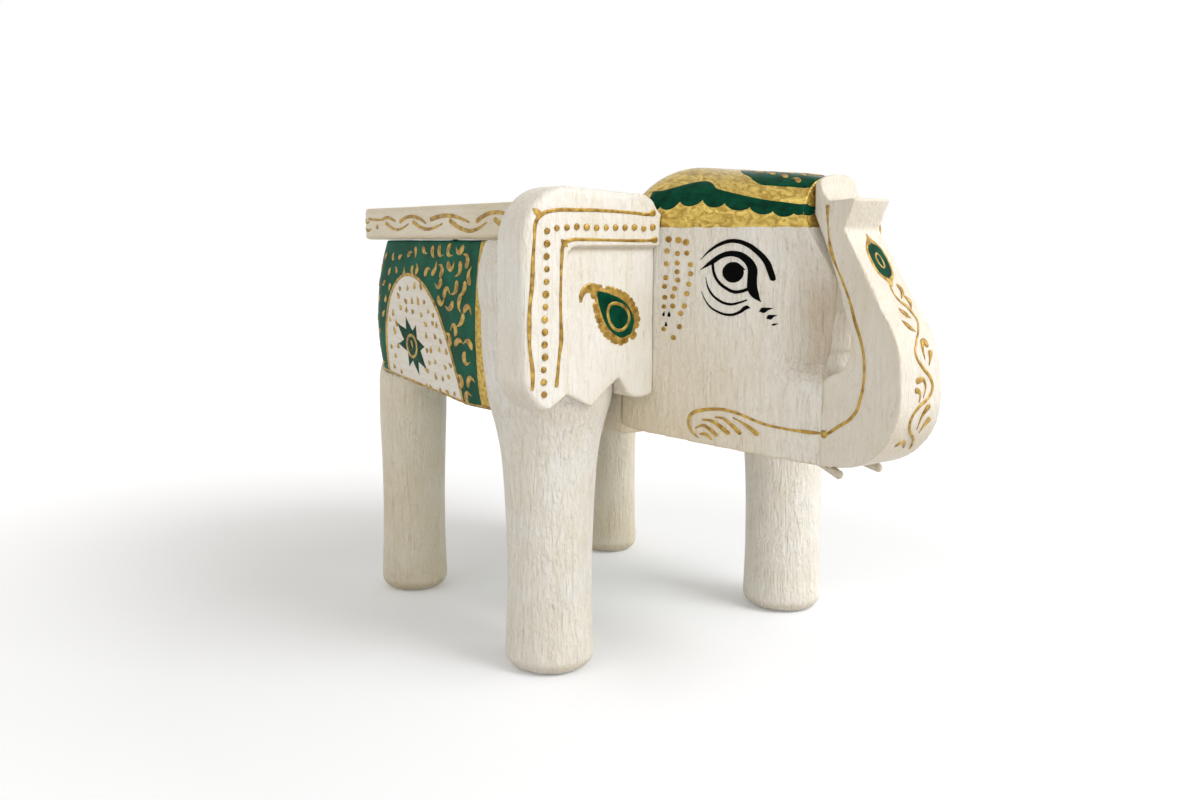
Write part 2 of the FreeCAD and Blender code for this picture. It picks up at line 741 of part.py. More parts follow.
for thing in doc.Objects:
    if "Invalid" in thing.State or "Error" in thing.State:
        raise RuntimeError("not built: " + thing.Label)
os.makedirs("parts", exist_ok=True)
for piece in pieces:
    if piece.Shape.isNull() or not piece.Shape.isValid():
        raise RuntimeError("bad shape: " + piece.Label)
    piece.Shape.exportStep("parts/%s.step" % piece.Label)
    box = piece.Shape.optimalBoundingBox(True)
    print("%-18s solids %d volume %9.1f  x %7.2f %7.2f  y %7.2f %7.2f  z %7.2f %7.2f" % (
        piece.Label, len(piece.Shape.Solids), piece.Shape.Volume,
        box.XMin, box.XMax, box.YMin, box.YMax, box.ZMin, box.ZMax))
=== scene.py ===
import math
import random
import bpy
import numpy
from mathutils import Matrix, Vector


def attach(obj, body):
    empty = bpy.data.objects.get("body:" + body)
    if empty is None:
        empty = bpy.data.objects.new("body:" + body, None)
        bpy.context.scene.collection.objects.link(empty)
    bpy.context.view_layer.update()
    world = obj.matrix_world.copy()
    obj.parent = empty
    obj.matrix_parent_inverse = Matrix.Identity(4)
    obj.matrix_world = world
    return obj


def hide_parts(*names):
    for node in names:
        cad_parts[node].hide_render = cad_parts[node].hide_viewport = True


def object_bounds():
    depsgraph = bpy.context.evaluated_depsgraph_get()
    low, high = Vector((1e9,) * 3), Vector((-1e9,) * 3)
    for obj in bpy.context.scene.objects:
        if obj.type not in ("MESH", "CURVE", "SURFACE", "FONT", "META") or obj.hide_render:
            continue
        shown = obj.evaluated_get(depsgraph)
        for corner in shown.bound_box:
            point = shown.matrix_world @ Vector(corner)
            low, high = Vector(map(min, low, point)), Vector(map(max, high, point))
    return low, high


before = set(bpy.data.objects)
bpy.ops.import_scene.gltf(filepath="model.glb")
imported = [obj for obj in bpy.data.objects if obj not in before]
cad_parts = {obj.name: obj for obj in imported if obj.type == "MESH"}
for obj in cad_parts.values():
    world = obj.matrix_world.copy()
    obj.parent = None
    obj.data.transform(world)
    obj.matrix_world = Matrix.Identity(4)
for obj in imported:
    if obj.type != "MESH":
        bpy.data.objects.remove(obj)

cad_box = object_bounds()


# Legs: four posts of soft wood, rounded with a drawknife, the front pair widening into the shoulders.
# They are doweled to the body and brushed with two coats of chalky off-white paint,
# which lets the grain and the long tool marks show through.
MM = 0.001
WELD = 0.01
STANDOUT_SPREAD = 3
STANDOUT_GAIN = 5


def carve(name, nodes, voxel, tool_marks, depth, smoothing=3):
    """Copies a blank and gives it soft edges and shallow tool marks, both cut inwards. Sizes in mm."""
    bpy.ops.object.select_all(action="DESELECT")
    copies = []
    for node in nodes:
        copy = bpy.data.objects.new(name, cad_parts[node].data.copy())
        bpy.context.collection.objects.link(copy)
        copy.select_set(True)
        copies.append(copy)
    bpy.context.view_layer.objects.active = copies[0]
    if len(copies) > 1:
        bpy.ops.object.join()
    piece = bpy.context.object
    piece.name = name
    bpy.ops.object.mode_set(mode="EDIT")
    bpy.ops.mesh.select_all(action="SELECT")
    bpy.ops.mesh.remove_doubles(threshold=WELD * MM)
    bpy.ops.object.mode_set(mode="OBJECT")
    blank = piece.modifiers.new("Blank", "REMESH")
    blank.mode = "VOXEL"
    blank.voxel_size = voxel * MM
    rubbed = piece.modifiers.new("Rubbed", "SMOOTH")
    rubbed.factor = 0.5
    rubbed.iterations = smoothing
    bpy.ops.object.empty_add()
    marks_place = bpy.context.object
    marks_place.scale = [mark * MM for mark in tool_marks]
    bpy.context.view_layer.update()
    marks = piece.modifiers.new("Tool marks", "DISPLACE")
    marks.texture = bpy.data.textures.new(name, "CLOUDS")
    marks.texture.noise_scale = 1.0
    marks.texture.noise_depth = 1
    marks.texture_coords = "OBJECT"
    marks.texture_coords_object = marks_place
    marks.mid_level = 0.0
    marks.strength = -depth * MM
    bpy.ops.object.select_all(action="DESELECT")
    piece.select_set(True)
    bpy.context.view_layer.objects.active = piece
    for step in ("Blank", "Rubbed", "Tool marks"):
        bpy.ops.object.modifier_apply(modifier=step)
    bpy.data.objects.remove(marks_place)
    bpy.ops.object.shade_smooth()
    piece.data.materials.clear()
    mark_standout(piece.data)
    return piece


def mark_standout(mesh):
    """Stores how far each spot stands out from its surroundings: edges over 0.5, hollows under it."""
    count = len(mesh.vertices)
    spots = numpy.empty(count * 3, dtype=numpy.float32)
    mesh.vertices.foreach_get("co", spots)
    spots = spots.reshape(-1, 3)
    normals = numpy.empty(count * 3, dtype=numpy.float32)
    mesh.vertices.foreach_get("normal", normals)
    edges = numpy.empty(len(mesh.edges) * 2, dtype=numpy.int32)
    mesh.edges.foreach_get("vertices", edges)
    ends = edges.reshape(-1, 2)
    ends = numpy.concatenate([ends, ends[:, ::-1]])
    joined = numpy.maximum(numpy.bincount(ends[:, 0], minlength=count), 1)
    around = numpy.stack([numpy.bincount(ends[:, 0], weights=spots[ends[:, 1], axis], minlength=count)
                          for axis in range(3)], axis=1) / joined[:, None]
    standout = ((spots - around) * normals.reshape(-1, 3)).sum(axis=1) / MM
    for _ in range(STANDOUT_SPREAD):
        nearby = numpy.bincount(ends[:, 0], weights=standout[ends[:, 1]], minlength=count) / joined
        standout = 0.5 * standout + 0.5 * nearby
    layer = mesh.attributes.new("standout", "FLOAT", "POINT")
    layer.data.foreach_set("value", numpy.clip(0.5 + standout * STANDOUT_GAIN, 0, 1).astype(numpy.float32))


def linear(colour):
    """A colour written in hex, as the linear values that a shader takes."""
    parts = [int(colour[place:place + 2], 16) / 255 for place in (1, 3, 5)]
    return [part / 12.92 if part < 0.04045 else ((part + 0.055) / 1.055) ** 2.4 for part in parts] + [1]


def feed(tree, node, inputs):
    """Sets a node's inputs: each is a value or another node's output."""
    for socket, value in inputs.items():
        if isinstance(value, bpy.types.NodeSocket):
            tree.links.new(value, node.inputs[socket])
        else:
            node.inputs[socket].default_value = value


def put(tree, kind, inputs, **settings):
    """Adds a node with its settings and inputs."""
    made = tree.nodes.new(kind)
    for word, value in settings.items():
        setattr(made, word, value)
    feed(tree, made, inputs)
    return made.outputs[0]


def new_finish(name):
    """A new finish: its material, the nodes in it, and the shader that they feed."""
    made = bpy.data.materials.new(name)
    made.use_nodes = True
    return made, made.node_tree, made.node_tree.nodes["Principled BSDF"]


def tint(tree, under, pattern, start, full, shade, most=1.0):
    """Lays a shade over a colour as a pattern goes from start to full, where it covers the most."""
    share = put(tree, "ShaderNodeMapRange", {"Value": pattern, "From Min": start, "From Max": full,
                                             "To Max": most})
    return put(tree, "ShaderNodeMix", {"Factor": share, "A": under, "B": linear(shade)},
               data_type="RGBA").node.outputs["Result"]


FRESH_COAT = ("#F8F5EE", "#F2ECDF")
# The yellower coat is painted shade, for pieces that stand in shadow.
SHADE_TINTED_COAT = ("#F3EBD8", "#E9DEC4")
VERTICAL_GRAIN = (1.0, 1.0, 0.06)
SHORT_GRAIN = 0.2
PATCH_SIZE = 26
STROKE_WIDTH = 2.2
FIBRE_WIDTH = 0.6
RIDGE_WIDTH = 1.5
DAUB_SIZE = 5
PORE_WIDTH = 0.7
FIBRE_RELIEF = 0.3
DAUB_RELIEF = 0.7
CHALK_ROUGHNESS = (0.3, 0.55)


def ivory_layers(tree, grain, coat, furrows):
    """Off-white chalk paint on carved wood, with painted shade on the undersides and partly in the furrows:
    colour, roughness and relief, and the place in mm.
    """
    place = put(tree, "ShaderNodeTexCoord", {}).node.outputs["Object"]
    spot = put(tree, "ShaderNodeVectorMath", {0: place, 1: (1 / MM, 1 / MM, 1 / MM)}, operation="MULTIPLY")
    along = put(tree, "ShaderNodeVectorMath", {0: spot, 1: grain}, operation="MULTIPLY")
    short = [max(part, SHORT_GRAIN) for part in grain]
    ridged = put(tree, "ShaderNodeVectorMath", {0: spot, 1: short}, operation="MULTIPLY")
    patches = put(tree, "ShaderNodeTexNoise", {"Vector": spot, "Scale": 1 / PATCH_SIZE, "Detail": 5.0})
    strokes = put(tree, "ShaderNodeTexNoise", {"Vector": along, "Scale": 1 / STROKE_WIDTH, "Detail": 4.0})
    fibres = put(tree, "ShaderNodeTexNoise", {"Vector": along, "Scale": 1 / FIBRE_WIDTH, "Detail": 3.0})
    ridges = put(tree, "ShaderNodeTexNoise", {"Vector": ridged, "Scale": 1 / RIDGE_WIDTH, "Detail": 3.0,
                                              "Distortion": 1.2})
    daubs = put(tree, "ShaderNodeTexNoise", {"Vector": spot, "Scale": 1 / DAUB_SIZE, "Detail": 2.0,
                                             "Distortion": 1.5})
    pores = put(tree, "ShaderNodeTexNoise", {"Vector": ridged, "Scale": 1 / PORE_WIDTH, "Detail": 1.0})
    standout = put(tree, "ShaderNodeAttribute", {}, attribute_name="standout").node.outputs["Fac"]
    facing = put(tree, "ShaderNodeNewGeometry", {}).node.outputs["Normal"]
    facing_up = put(tree, "ShaderNodeSeparateXYZ", {"Vector": facing}).node.outputs["Z"]
    # Each layer: its pattern, where that starts and is full, its shade, and the most it covers.
    colour = linear(coat[0])
    for layer in ((patches, 0.35, 0.68, coat[1], 1.0),
                  (strokes, 0.5, 0.74, "#DED1B4", 0.38),
                  (fibres, 0.54, 0.74, "#DED3BC", 0.3),
                  # Beige in the furrows between the ridges: partly dirt in the grain, partly painted shade in
                  # the grooves.
                  (ridges, 0.45, 0.22, "#CBBA98", furrows),
                  (pores, 0.7, 0.76, "#9C8660", 0.3),
                  # Hollows turn darker beige, and the standing edges rub through to tan.
                  (standout, 0.44, 0.2, "#B9A67F", 0.45),
                  (standout, 0.6, 0.95, "#DCC9A0", 0.35),
                  # Faces that look down turn beige: painted shade on the undersides.
                  (facing_up, -0.1, -0.5, "#BCA67C", 0.35)):
        colour = tint(tree, colour, *layer)
    relief = put(tree, "ShaderNodeMath", {0: fibres, 1: FIBRE_RELIEF, 2: ridges}, operation="MULTIPLY_ADD")
    relief = put(tree, "ShaderNodeMath", {0: daubs, 1: DAUB_RELIEF, 2: relief}, operation="MULTIPLY_ADD")
    rough = put(tree, "ShaderNodeMapRange", {"Value": strokes, "To Min": CHALK_ROUGHNESS[0],
                                             "To Max": CHALK_ROUGHNESS[1]})
    return spot, colour, rough, relief


def ivory_paint(name, grain, coat, furrows, ridge_height):
    """Brushed chalk paint on wood: off-white with a low sheen, and beige streaks where the coat is thin."""
    paint, tree, shader = new_finish(name)
    _, colour, rough, relief = ivory_layers(tree, grain, coat, furrows)
    bump = put(tree, "ShaderNodeBump", {"Height": relief, "Distance": ridge_height * MM, "Strength": 1.0})
    feed(tree, shader, {"Base Color": colour, "Roughness": rough, "Normal": bump})
    return paint


# Deep upright furrows show on the legs. The rear pair gets a yellower coat: painted warm shade, as they stand
# in the shadow of the body.
leg_paint = ivory_paint("ivory_chalk_paint_upright_grain", VERTICAL_GRAIN, FRESH_COAT,
                        furrows=0.3, ridge_height=1.15)
shade_tinted_paint = ivory_paint("shade_tinted_chalk_paint_upright_grain", VERTICAL_GRAIN, SHADE_TINTED_COAT,
                         furrows=0.3, ridge_height=1.0)
for leg_node in ("leg_front_left", "leg_front_right", "leg_rear_left", "leg_rear_right"):
    leg = carve("carved_" + leg_node, [leg_node], voxel=0.9, tool_marks=(5.0, 5.0, 34.0), depth=0.45)
    leg.data.materials.append(shade_tinted_paint if "rear" in leg_node else leg_paint)
    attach(leg, "root")
    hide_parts(leg_node)


# Body: a barrel-sided block of wood under the seat, doweled to the legs and the chest.
# Painted green, with an off-white arch on each side and a wide gold band at the shoulder end.
ARCH_CROWN = (-84.0, 148.0)
ARCH_HEIGHT = 52.5
ARCH_FRONT = 43.5
ARCH_FRONT_POWER = 1.55
ARCH_REAR = 19.5
ARCH_REAR_POWER = 4.0
ARCH_FLANK = 66.0
BODY_BAND_REAR = -26.3
BAND_WOBBLE = 0.9
WOBBLE_LENGTH = 7
BODY_GRAIN = (0.08, 1.0, 1.0)
GREEN_PATCH = 9
GILT_GRIT = 1.6
GREEN_ROUGHNESS, GILT_ROUGHNESS = 0.45, 0.36
GILT_METAL = 0.55
BODY_RELIEF = 0.12

body = carve("carved_body", ["body_block"], voxel=1.1, tool_marks=(18.0, 14.0, 10.0), depth=0.35, smoothing=4)
# Brushed green, off-white and gold paint: deep green in soft patches, and a band with a dull metal gleam.
body_paint, tree, shader = new_finish("green_gold_and_ivory_body_paint")
spot, ivory, _, relief = ivory_layers(tree, BODY_GRAIN, FRESH_COAT, furrows=0.3)
axes = put(tree, "ShaderNodeSeparateXYZ", {"Vector": spot}).node
along, aside, up = axes.outputs
wobble = put(tree, "ShaderNodeTexNoise", {"Vector": spot, "Scale": 1 / WOBBLE_LENGTH, "Detail": 2.0})
wobble = put(tree, "ShaderNodeMapRange", {"Value": wobble, "To Min": -BAND_WOBBLE, "To Max": BAND_WOBBLE})
height = put(tree, "ShaderNodeMapRange", {"Value": up, "From Min": ARCH_CROWN[1] - ARCH_HEIGHT,
                                          "From Max": ARCH_CROWN[1]})
arch = None
for power, reach, way in ((ARCH_FRONT_POWER, ARCH_FRONT, 1), (ARCH_REAR_POWER, ARCH_REAR, -1)):
    narrowing = put(tree, "ShaderNodeMath", {0: height, 1: power}, operation="POWER")
    narrowing = put(tree, "ShaderNodeMath", {0: 1.0, 1: narrowing}, operation="SUBTRACT")
    narrowing = put(tree, "ShaderNodeMath", {0: narrowing}, operation="SQRT")
    edge = put(tree, "ShaderNodeMath", {0: narrowing, 1: reach * way, 2: ARCH_CROWN[0]},
               operation="MULTIPLY_ADD")
    inside = put(tree, "ShaderNodeMath", {0: along, 1: edge},
                 operation="LESS_THAN" if way > 0 else "GREATER_THAN")
    arch = inside if arch is None else put(tree, "ShaderNodeMath", {0: arch, 1: inside}, operation="MULTIPLY")
flank = put(tree, "ShaderNodeMath", {0: aside}, operation="ABSOLUTE")
flank = put(tree, "ShaderNodeMath", {0: flank, 1: ARCH_FLANK}, operation="GREATER_THAN")
arch = put(tree, "ShaderNodeMath", {0: arch, 1: flank}, operation="MULTIPLY")
green = put(tree, "ShaderNodeTexNoise", {"Vector": spot, "Scale": 1 / GREEN_PATCH, "Detail": 4.0})
green = tint(tree, linear("#034A34"), green, 0.35, 0.7, "#0A624A")
ground = put(tree, "ShaderNodeMix", {"Factor": arch, "A": green, "B": ivory},
             data_type="RGBA").node.outputs["Result"]
band = put(tree, "ShaderNodeMath", {0: along, 1: wobble}, operation="ADD")
band = put(tree, "ShaderNodeMath", {0: band, 1: BODY_BAND_REAR}, operation="GREATER_THAN")
gilt = put(tree, "ShaderNodeTexNoise", {"Vector": spot, "Scale": 1 / GILT_GRIT, "Detail": 4.0})
gold = tint(tree, linear("#A38436"), gilt, 0.36, 0.66, "#D6B95F")
colour = put(tree, "ShaderNodeMix", {"Factor": band, "A": ground, "B": gold}, data_type="RGBA")
metal = put(tree, "ShaderNodeMath", {0: band, 1: GILT_METAL}, operation="MULTIPLY")
gloss = put(tree, "ShaderNodeMapRange", {"Value": band, "To Min": GREEN_ROUGHNESS, "To Max": GILT_ROUGHNESS})
relief = put(tree, "ShaderNodeMath", {0: relief, 1: gilt}, operation="ADD")
bump = put(tree, "ShaderNodeBump", {"Height": relief, "Distance": BODY_RELIEF * MM, "Strength": 0.7})
feed(tree, shader, {"Base Color": colour.node.outputs["Result"], "Metallic": metal, "Roughness": gloss,
                    "Normal": bump, "Specular IOR Level": 0.1})
body.data.materials.append(body_paint)
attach(body, "root")
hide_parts("body_block")

# Ornament paint: gold, green and black, laid on the finished coat with a fine brush.
# The strokes stand a little proud, as thick paint does. A stroke is a row of spots
# (along, up, half width) in mm, seen square on to the side it is painted on.
RIGHT_SIDE = ((1, 0, 0), (0, 0, 1), (0, 1, 0))
LEFT_SIDE = ((1, 0, 0), (0, 0, 1), (0, -1, 0))
REAR_END = ((0, 1, 0), (0, 0, 1), (1, 0, 0))
SIDES = (("right", RIGHT_SIDE), ("left", LEFT_SIDE))
FILM_SUNK = 0.15
FILM_WELD = 0.004
FLAT_SIDE = 0.001
RAY_START = 0.4
FINE_TIP = 0.02
BLUNT_FROM, BLUNT_TO = 0.2, 2.0
SHOULDER_REACH, SHOULDER_WIDTH = 0.6, 0.75
ORNAMENT_GRIT = 0.5

tip_curve = bpy.data.curves.new("brush_tip", "CURVE")
tip_curve.dimensions = "2D"
tip_line = tip_curve.splines.new("POLY")
tip_line.points.add(6)
tip_line.use_cyclic_u = True
for point, turn in zip(tip_line.points, range(0, 181, 30)):
    point.co = (math.cos(math.radians(turn)) * MM, math.sin(math.radians(turn)) * MM, 0, 1)
brush_tip = bpy.data.objects.new("brush_tip", tip_curve)
bpy.context.collection.objects.link(brush_tip)


def rounded(stroke):
    """A stroke with its blunt ends run out to a round tip."""
    stroke = list(stroke)
    for place, near in ((len(stroke), -1), (0, 0)):
        end, inner = (stroke[0], stroke[1]) if near == 0 else (stroke[-1], stroke[-2])
        if BLUNT_FROM < end[2] < BLUNT_TO:
            away = Vector((end[0] - inner[0], end[1] - inner[1])).normalized() * end[2]
            shoulder = (end[0] + away.x * SHOULDER_REACH, end[1] + away.y * SHOULDER_REACH,
                        end[2] * SHOULDER_WIDTH)
            point = (end[0] + away.x, end[1] + away.y, FINE_TIP)
            stroke[place:place] = [point, shoulder] if near == 0 else [shoulder, point]
    return stroke


def dot(along, up, radius):
    """A round drop of paint, as a short stroke that swells and runs out."""
    return [(along - radius * math.cos(math.radians(turn)), up,
             max(radius * math.sin(math.radians(turn)), FINE_TIP)) for turn in (0, 25, 55, 90, 125, 155, 180)]


def leaf(along, up, length, half, turn, curl=0.0):
    """A comma of paint: a round head that runs out to a curled tail, turned in degrees from upright."""
    spots = []
    for share, width in ((0, FINE_TIP), (0.07, 0.7), (0.25, 1), (0.6, 0.7), (1, 0.06)):
        angle = math.radians(turn + curl * share)
        spots.append((along + math.sin(angle) * length * (share - 0.5),
                      up + math.cos(angle) * length * (share - 0.5), half * width))
    return spots


def brush(name, strokes, side, wood, paint, film=0.22, cuts=0):
    """Paints strokes on a piece of wood: each is laid on its surface, a film thick, with sunk edges."""
    across, up, towards = (Vector(axis) for axis in side)
    curve = bpy.data.curves.new(name, "CURVE")
    curve.dimensions = "3D"
    curve.twist_mode = "Z_UP"
    curve.resolution_u = 4
    curve.bevel_mode = "OBJECT"
    curve.bevel_object = brush_tip
    curve.use_fill_caps = True
    for stroke in strokes:
        stroke = rounded(stroke)
        line = curve.splines.new("BEZIER")
        line.radius_interpolation = "CARDINAL"
        line.bezier_points.add(len(stroke) - 1)
        for point, (along, height, half) in zip(line.bezier_points, stroke):
            point.co = (along * MM, height * MM, 0)
            point.radius = half
            point.handle_left_type = "AUTO"
            point.handle_right_type = "AUTO"
    coat = bpy.data.objects.new(name, curve)
    bpy.context.collection.objects.link(coat)
    bpy.ops.object.select_all(action="DESELECT")
    coat.select_set(True)
    bpy.context.view_layer.objects.active = coat
    bpy.ops.object.convert(target="MESH")
    coat = bpy.context.object
    if cuts:
        bpy.ops.object.mode_set(mode="EDIT")
        bpy.ops.mesh.select_all(action="SELECT")
        bpy.ops.mesh.subdivide(number_cuts=cuts)
        bpy.ops.object.mode_set(mode="OBJECT")
    bpy.context.view_layer.update()
    far = towards * RAY_START
    place = Vector()
    for vertex in coat.data.vertices:
        foot = across * vertex.co.x + up * vertex.co.y
        thick = vertex.co.z / MM
        rise = film * math.tanh(thick / film) if thick > FLAT_SIDE else -FILM_SUNK
        found, hit, normal, _ = wood.ray_cast(foot - far, towards)
        if found:
            place = hit
        else:
            near = foot + towards * (place - foot).dot(towards)
            _, hit, normal, _ = wood.closest_point_on_mesh(near)
        spot = hit + normal * rise * MM
        vertex.co = [min(max(part, low), high) for part, low, high in zip(spot, *cad_box)]
    bpy.ops.object.mode_set(mode="EDIT")
    bpy.ops.mesh.select_all(action="SELECT")
    bpy.ops.mesh.remove_doubles(threshold=FILM_WELD * MM)
    bpy.ops.mesh.normals_make_consistent(inside=False)
    bpy.ops.object.mode_set(mode="OBJECT")
    bpy.ops.object.shade_smooth()
    coat.data.materials.append(paint)
    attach(coat, "root")


def brushed_paint(name, deep, light, patch, roughness, metallic, relief, gloss):
    """Thick brushed paint: two shades in soft patches of a given size in mm, with fine brush relief."""
    paint, tree, shader = new_finish(name)
    place = put(tree, "ShaderNodeTexCoord", {}).node.outputs["Object"]
    spot = put(tree, "ShaderNodeVectorMath", {0: place, 1: (1 / MM, 1 / MM, 1 / MM)}, operation="MULTIPLY")
    patches = put(tree, "ShaderNodeTexNoise", {"Vector": spot, "Scale": 1 / patch, "Detail": 4.0})
    grit = put(tree, "ShaderNodeTexNoise", {"Vector": spot, "Scale": 1 / ORNAMENT_GRIT, "Detail": 3.0})
    colour = tint(tree, linear(deep), patches, 0.34, 0.66, light)
    rough = put(tree, "ShaderNodeMapRange", {"Value": grit, "To Min": roughness - 0.1,
                                             "To Max": roughness + 0.1})
    bump = put(tree, "ShaderNodeBump", {"Height": grit, "Distance": relief * MM, "Strength": 0.7})
    feed(tree, shader, {"Base Color": colour, "Roughness": rough, "Normal": bump,
                        "Metallic": metallic, "Specular IOR Level": gloss})
    return paint


# Bronze powder in varnish: warm and half metallic, darker where it pools.
gold_paint = brushed_paint("raised_gold_paint", "#85601C", "#CAA750", patch=2.4, roughness=0.34,
                           metallic=0.5, relief=0.1, gloss=0.5)
# Green oil paint: deep and even, with hardly any gleam.
green_paint = brushed_paint("brushed_green_paint", "#013624", "#065039", patch=4.0, roughness=0.3,
                            metallic=0.0, relief=0.1, gloss=0.05)
# Lamp black in oil: nearly no light comes back, so the eyes stay crisp.
black_paint = brushed_paint("black_lamp_paint", "#020202", "#070706", patch=3.0, roughness=0.3,
                            metallic=0.0, relief=0.08, gloss=0.03)

# Body ornament: gold commas on the green, a gold line round the arch and the foot of the body,
# and in the arch a green flower with a gold ring among small gold dashes.
FLOWER = (-79.0, 117.5)
FLOWER_TIPS = ((-92.0, 126.3), (-84.4, 129.5), (-75.3, 126.3), (-68.6, 117.4), (-68.0, 107.8), (-75.2, 104.6),
               (-83.4, 107.6), (-91.5, 117.2))
FLOWER_CLEARING = 150
COMMA_START = (-113, 101)
COMMA_STEP = 7.0
COMMA_STRAY = 1.3
COMMA_LENGTH = 8.6
DASH_START = (-101, 101)
DASH_STEPS = (6.0, 5.2)
DASH_STRAY = 1.4
REAR_START = (-60, 110)
REAR_STEP = 7.9
REAR_SHIFT = 3.2
REAR_HALF = 62
REAR_FOOT = 105.6
HAUNCH_GAP, HAUNCH_TOP = 36, 122


def arch_edge(height):
    """Rear and front end of the arch at a level, in mm."""
    share = max(0.0, min(1.0, (height - ARCH_CROWN[1] + ARCH_HEIGHT) / ARCH_HEIGHT))
    return (ARCH_CROWN[0] - ARCH_REAR * math.sqrt(1 - share ** ARCH_REAR_POWER),
            ARCH_CROWN[0] + ARCH_FRONT * math.sqrt(1 - share ** ARCH_FRONT_POWER))


levels = [112, 120, 128, 135, 140, 144, 146.5, 147.7]
arch_line = [(arch_edge(level)[0], level, 0.75) for level in [104.5] + levels]
arch_line += [(arch_edge(level)[1], level, 0.8) for level in levels[::-1] + [104, 97.4]]
foot_line = [(along, max(96.6, 95.5 + (-39 - along) * 0.11 + 1.1), 0.5 + 0.15 * math.sin(along))
             for along in range(-112, -14, 8)]
flower_petals = [[(FLOWER[0], FLOWER[1], 3.2),
                  (FLOWER[0] * 0.55 + tip[0] * 0.45, FLOWER[1] * 0.55 + tip[1] * 0.45, 3.0),
                  (tip[0], tip[1], 0.1)] for tip in FLOWER_TIPS]
flower_ring = [(FLOWER[0] - 0.5 + 4.2 * math.sin(math.radians(turn)),
                FLOWER[1] - 0.5 + 4.8 * math.cos(math.radians(turn)), 0.75) for turn in range(0, 361, 30)]
for side_name, side in SIDES:
    chance = random.Random(4)
    gold_strokes = [arch_line, foot_line, flower_ring, leaf(FLOWER[0], FLOWER[1], 4.5, 0.8, 150, 30)]
    for row in range(9):
        for column in range(12):
            along = COMMA_START[0] + (column + row % 2 / 2) * COMMA_STEP
            along += chance.uniform(-COMMA_STRAY, COMMA_STRAY)
            level = COMMA_START[1] + row * COMMA_STEP + chance.uniform(-COMMA_STRAY, COMMA_STRAY)
            size = 0.45 + 0.55 * min(1, max(0, (along + 92) / 45))
            turn = chance.choice((-20, 20, 35, 160, 200)) + chance.uniform(-20, 20)
            curl = chance.choice((-1, 1)) * chance.uniform(40, 130) * size
            rear, front = arch_edge(level)
            outside = along < rear - 2.5 or along > front + 3 or level > ARCH_CROWN[1] + 3
            if outside and along < BODY_BAND_REAR - 3:
                gold_strokes.append(leaf(along, level, COMMA_LENGTH * size, 0.8 + 0.7 * size, turn, curl))
    for row in range(9):
        for column in range(11):
            along = DASH_START[0] + (column + row % 2 / 2) * DASH_STEPS[0]
            along += chance.uniform(-DASH_STRAY, DASH_STRAY)
            level = DASH_START[1] + row * DASH_STEPS[1] + chance.uniform(-DASH_STRAY, DASH_STRAY)
            rear, front = arch_edge(level)
            beside = (along - FLOWER[0]) ** 2 + (level - FLOWER[1]) ** 2 > FLOWER_CLEARING
            if beside and rear + 2.5 < along < front - 3 and level < ARCH_CROWN[1] - 4:
                gold_strokes.append(leaf(along, level, chance.uniform(2.2, 4.2), chance.uniform(0.85, 1.1),
                                         chance.uniform(-70, 10), chance.uniform(-30, 30)))
    brush("body_gold_" + side_name, gold_strokes, side, body, gold_paint)
    brush("body_flower_" + side_name, flower_petals, side, body, green_paint, film=0.14)
chance = random.Random(9)
rear_strokes = [[(aside, REAR_FOOT, 0.6) for aside in range(-42, 43, 12)]]
for row in range(7):
    for column in range(16):
        aside = REAR_START[0] + column * REAR_STEP + (row % 2) * REAR_SHIFT
        aside += chance.uniform(-COMMA_STRAY, COMMA_STRAY)
        level = REAR_START[1] + row * REAR_STEP + chance.uniform(-COMMA_STRAY, COMMA_STRAY)
        if abs(aside) < REAR_HALF and (abs(aside) < HAUNCH_GAP or level > HAUNCH_TOP):
            rear_strokes.append(leaf(aside, level, chance.uniform(4.5, 6.5), chance.uniform(1.0, 1.3),
                                     chance.choice((-150, -20, 20, 160)) + chance.uniform(-15, 15),
                                     chance.uniform(-110, 110)))
brush("body_gold_rear", rear_strokes, REAR_END, body, gold_paint)

# Seat: a plank nailed down on the body, the nail holes plugged and painted over.
# Off-white, with its edges rubbed thin and its grain along the plank.
SEAT_GRAIN = (0.06, 1.0, 1.0)

seat = carve("carved_seat", ["seat_top", "seat_plugs"], voxel=1.1, tool_marks=(40.0, 6.0, 6.0), depth=0.3)
# Chalk paint on long grain: thin beige streaks run along the plank, in the yellower coat of painted shade.
seat.data.materials.append(ivory_paint("shade_tinted_chalk_paint_long_grain", SEAT_GRAIN, SHADE_TINTED_COAT,
                                       furrows=0.3, ridge_height=0.45))
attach(seat, "root")
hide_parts("seat_top", "seat_plugs")

# Seat ornament: a running wave of gold strokes along the edges, arches above and cups below,
# and a plain gold border round the top.
TOP_SIDE = ((1, 0, 0), (0, 1, 0), (0, 0, -1))
BORDER_REAR = -118.0
BORDER_ASIDE = 66.0

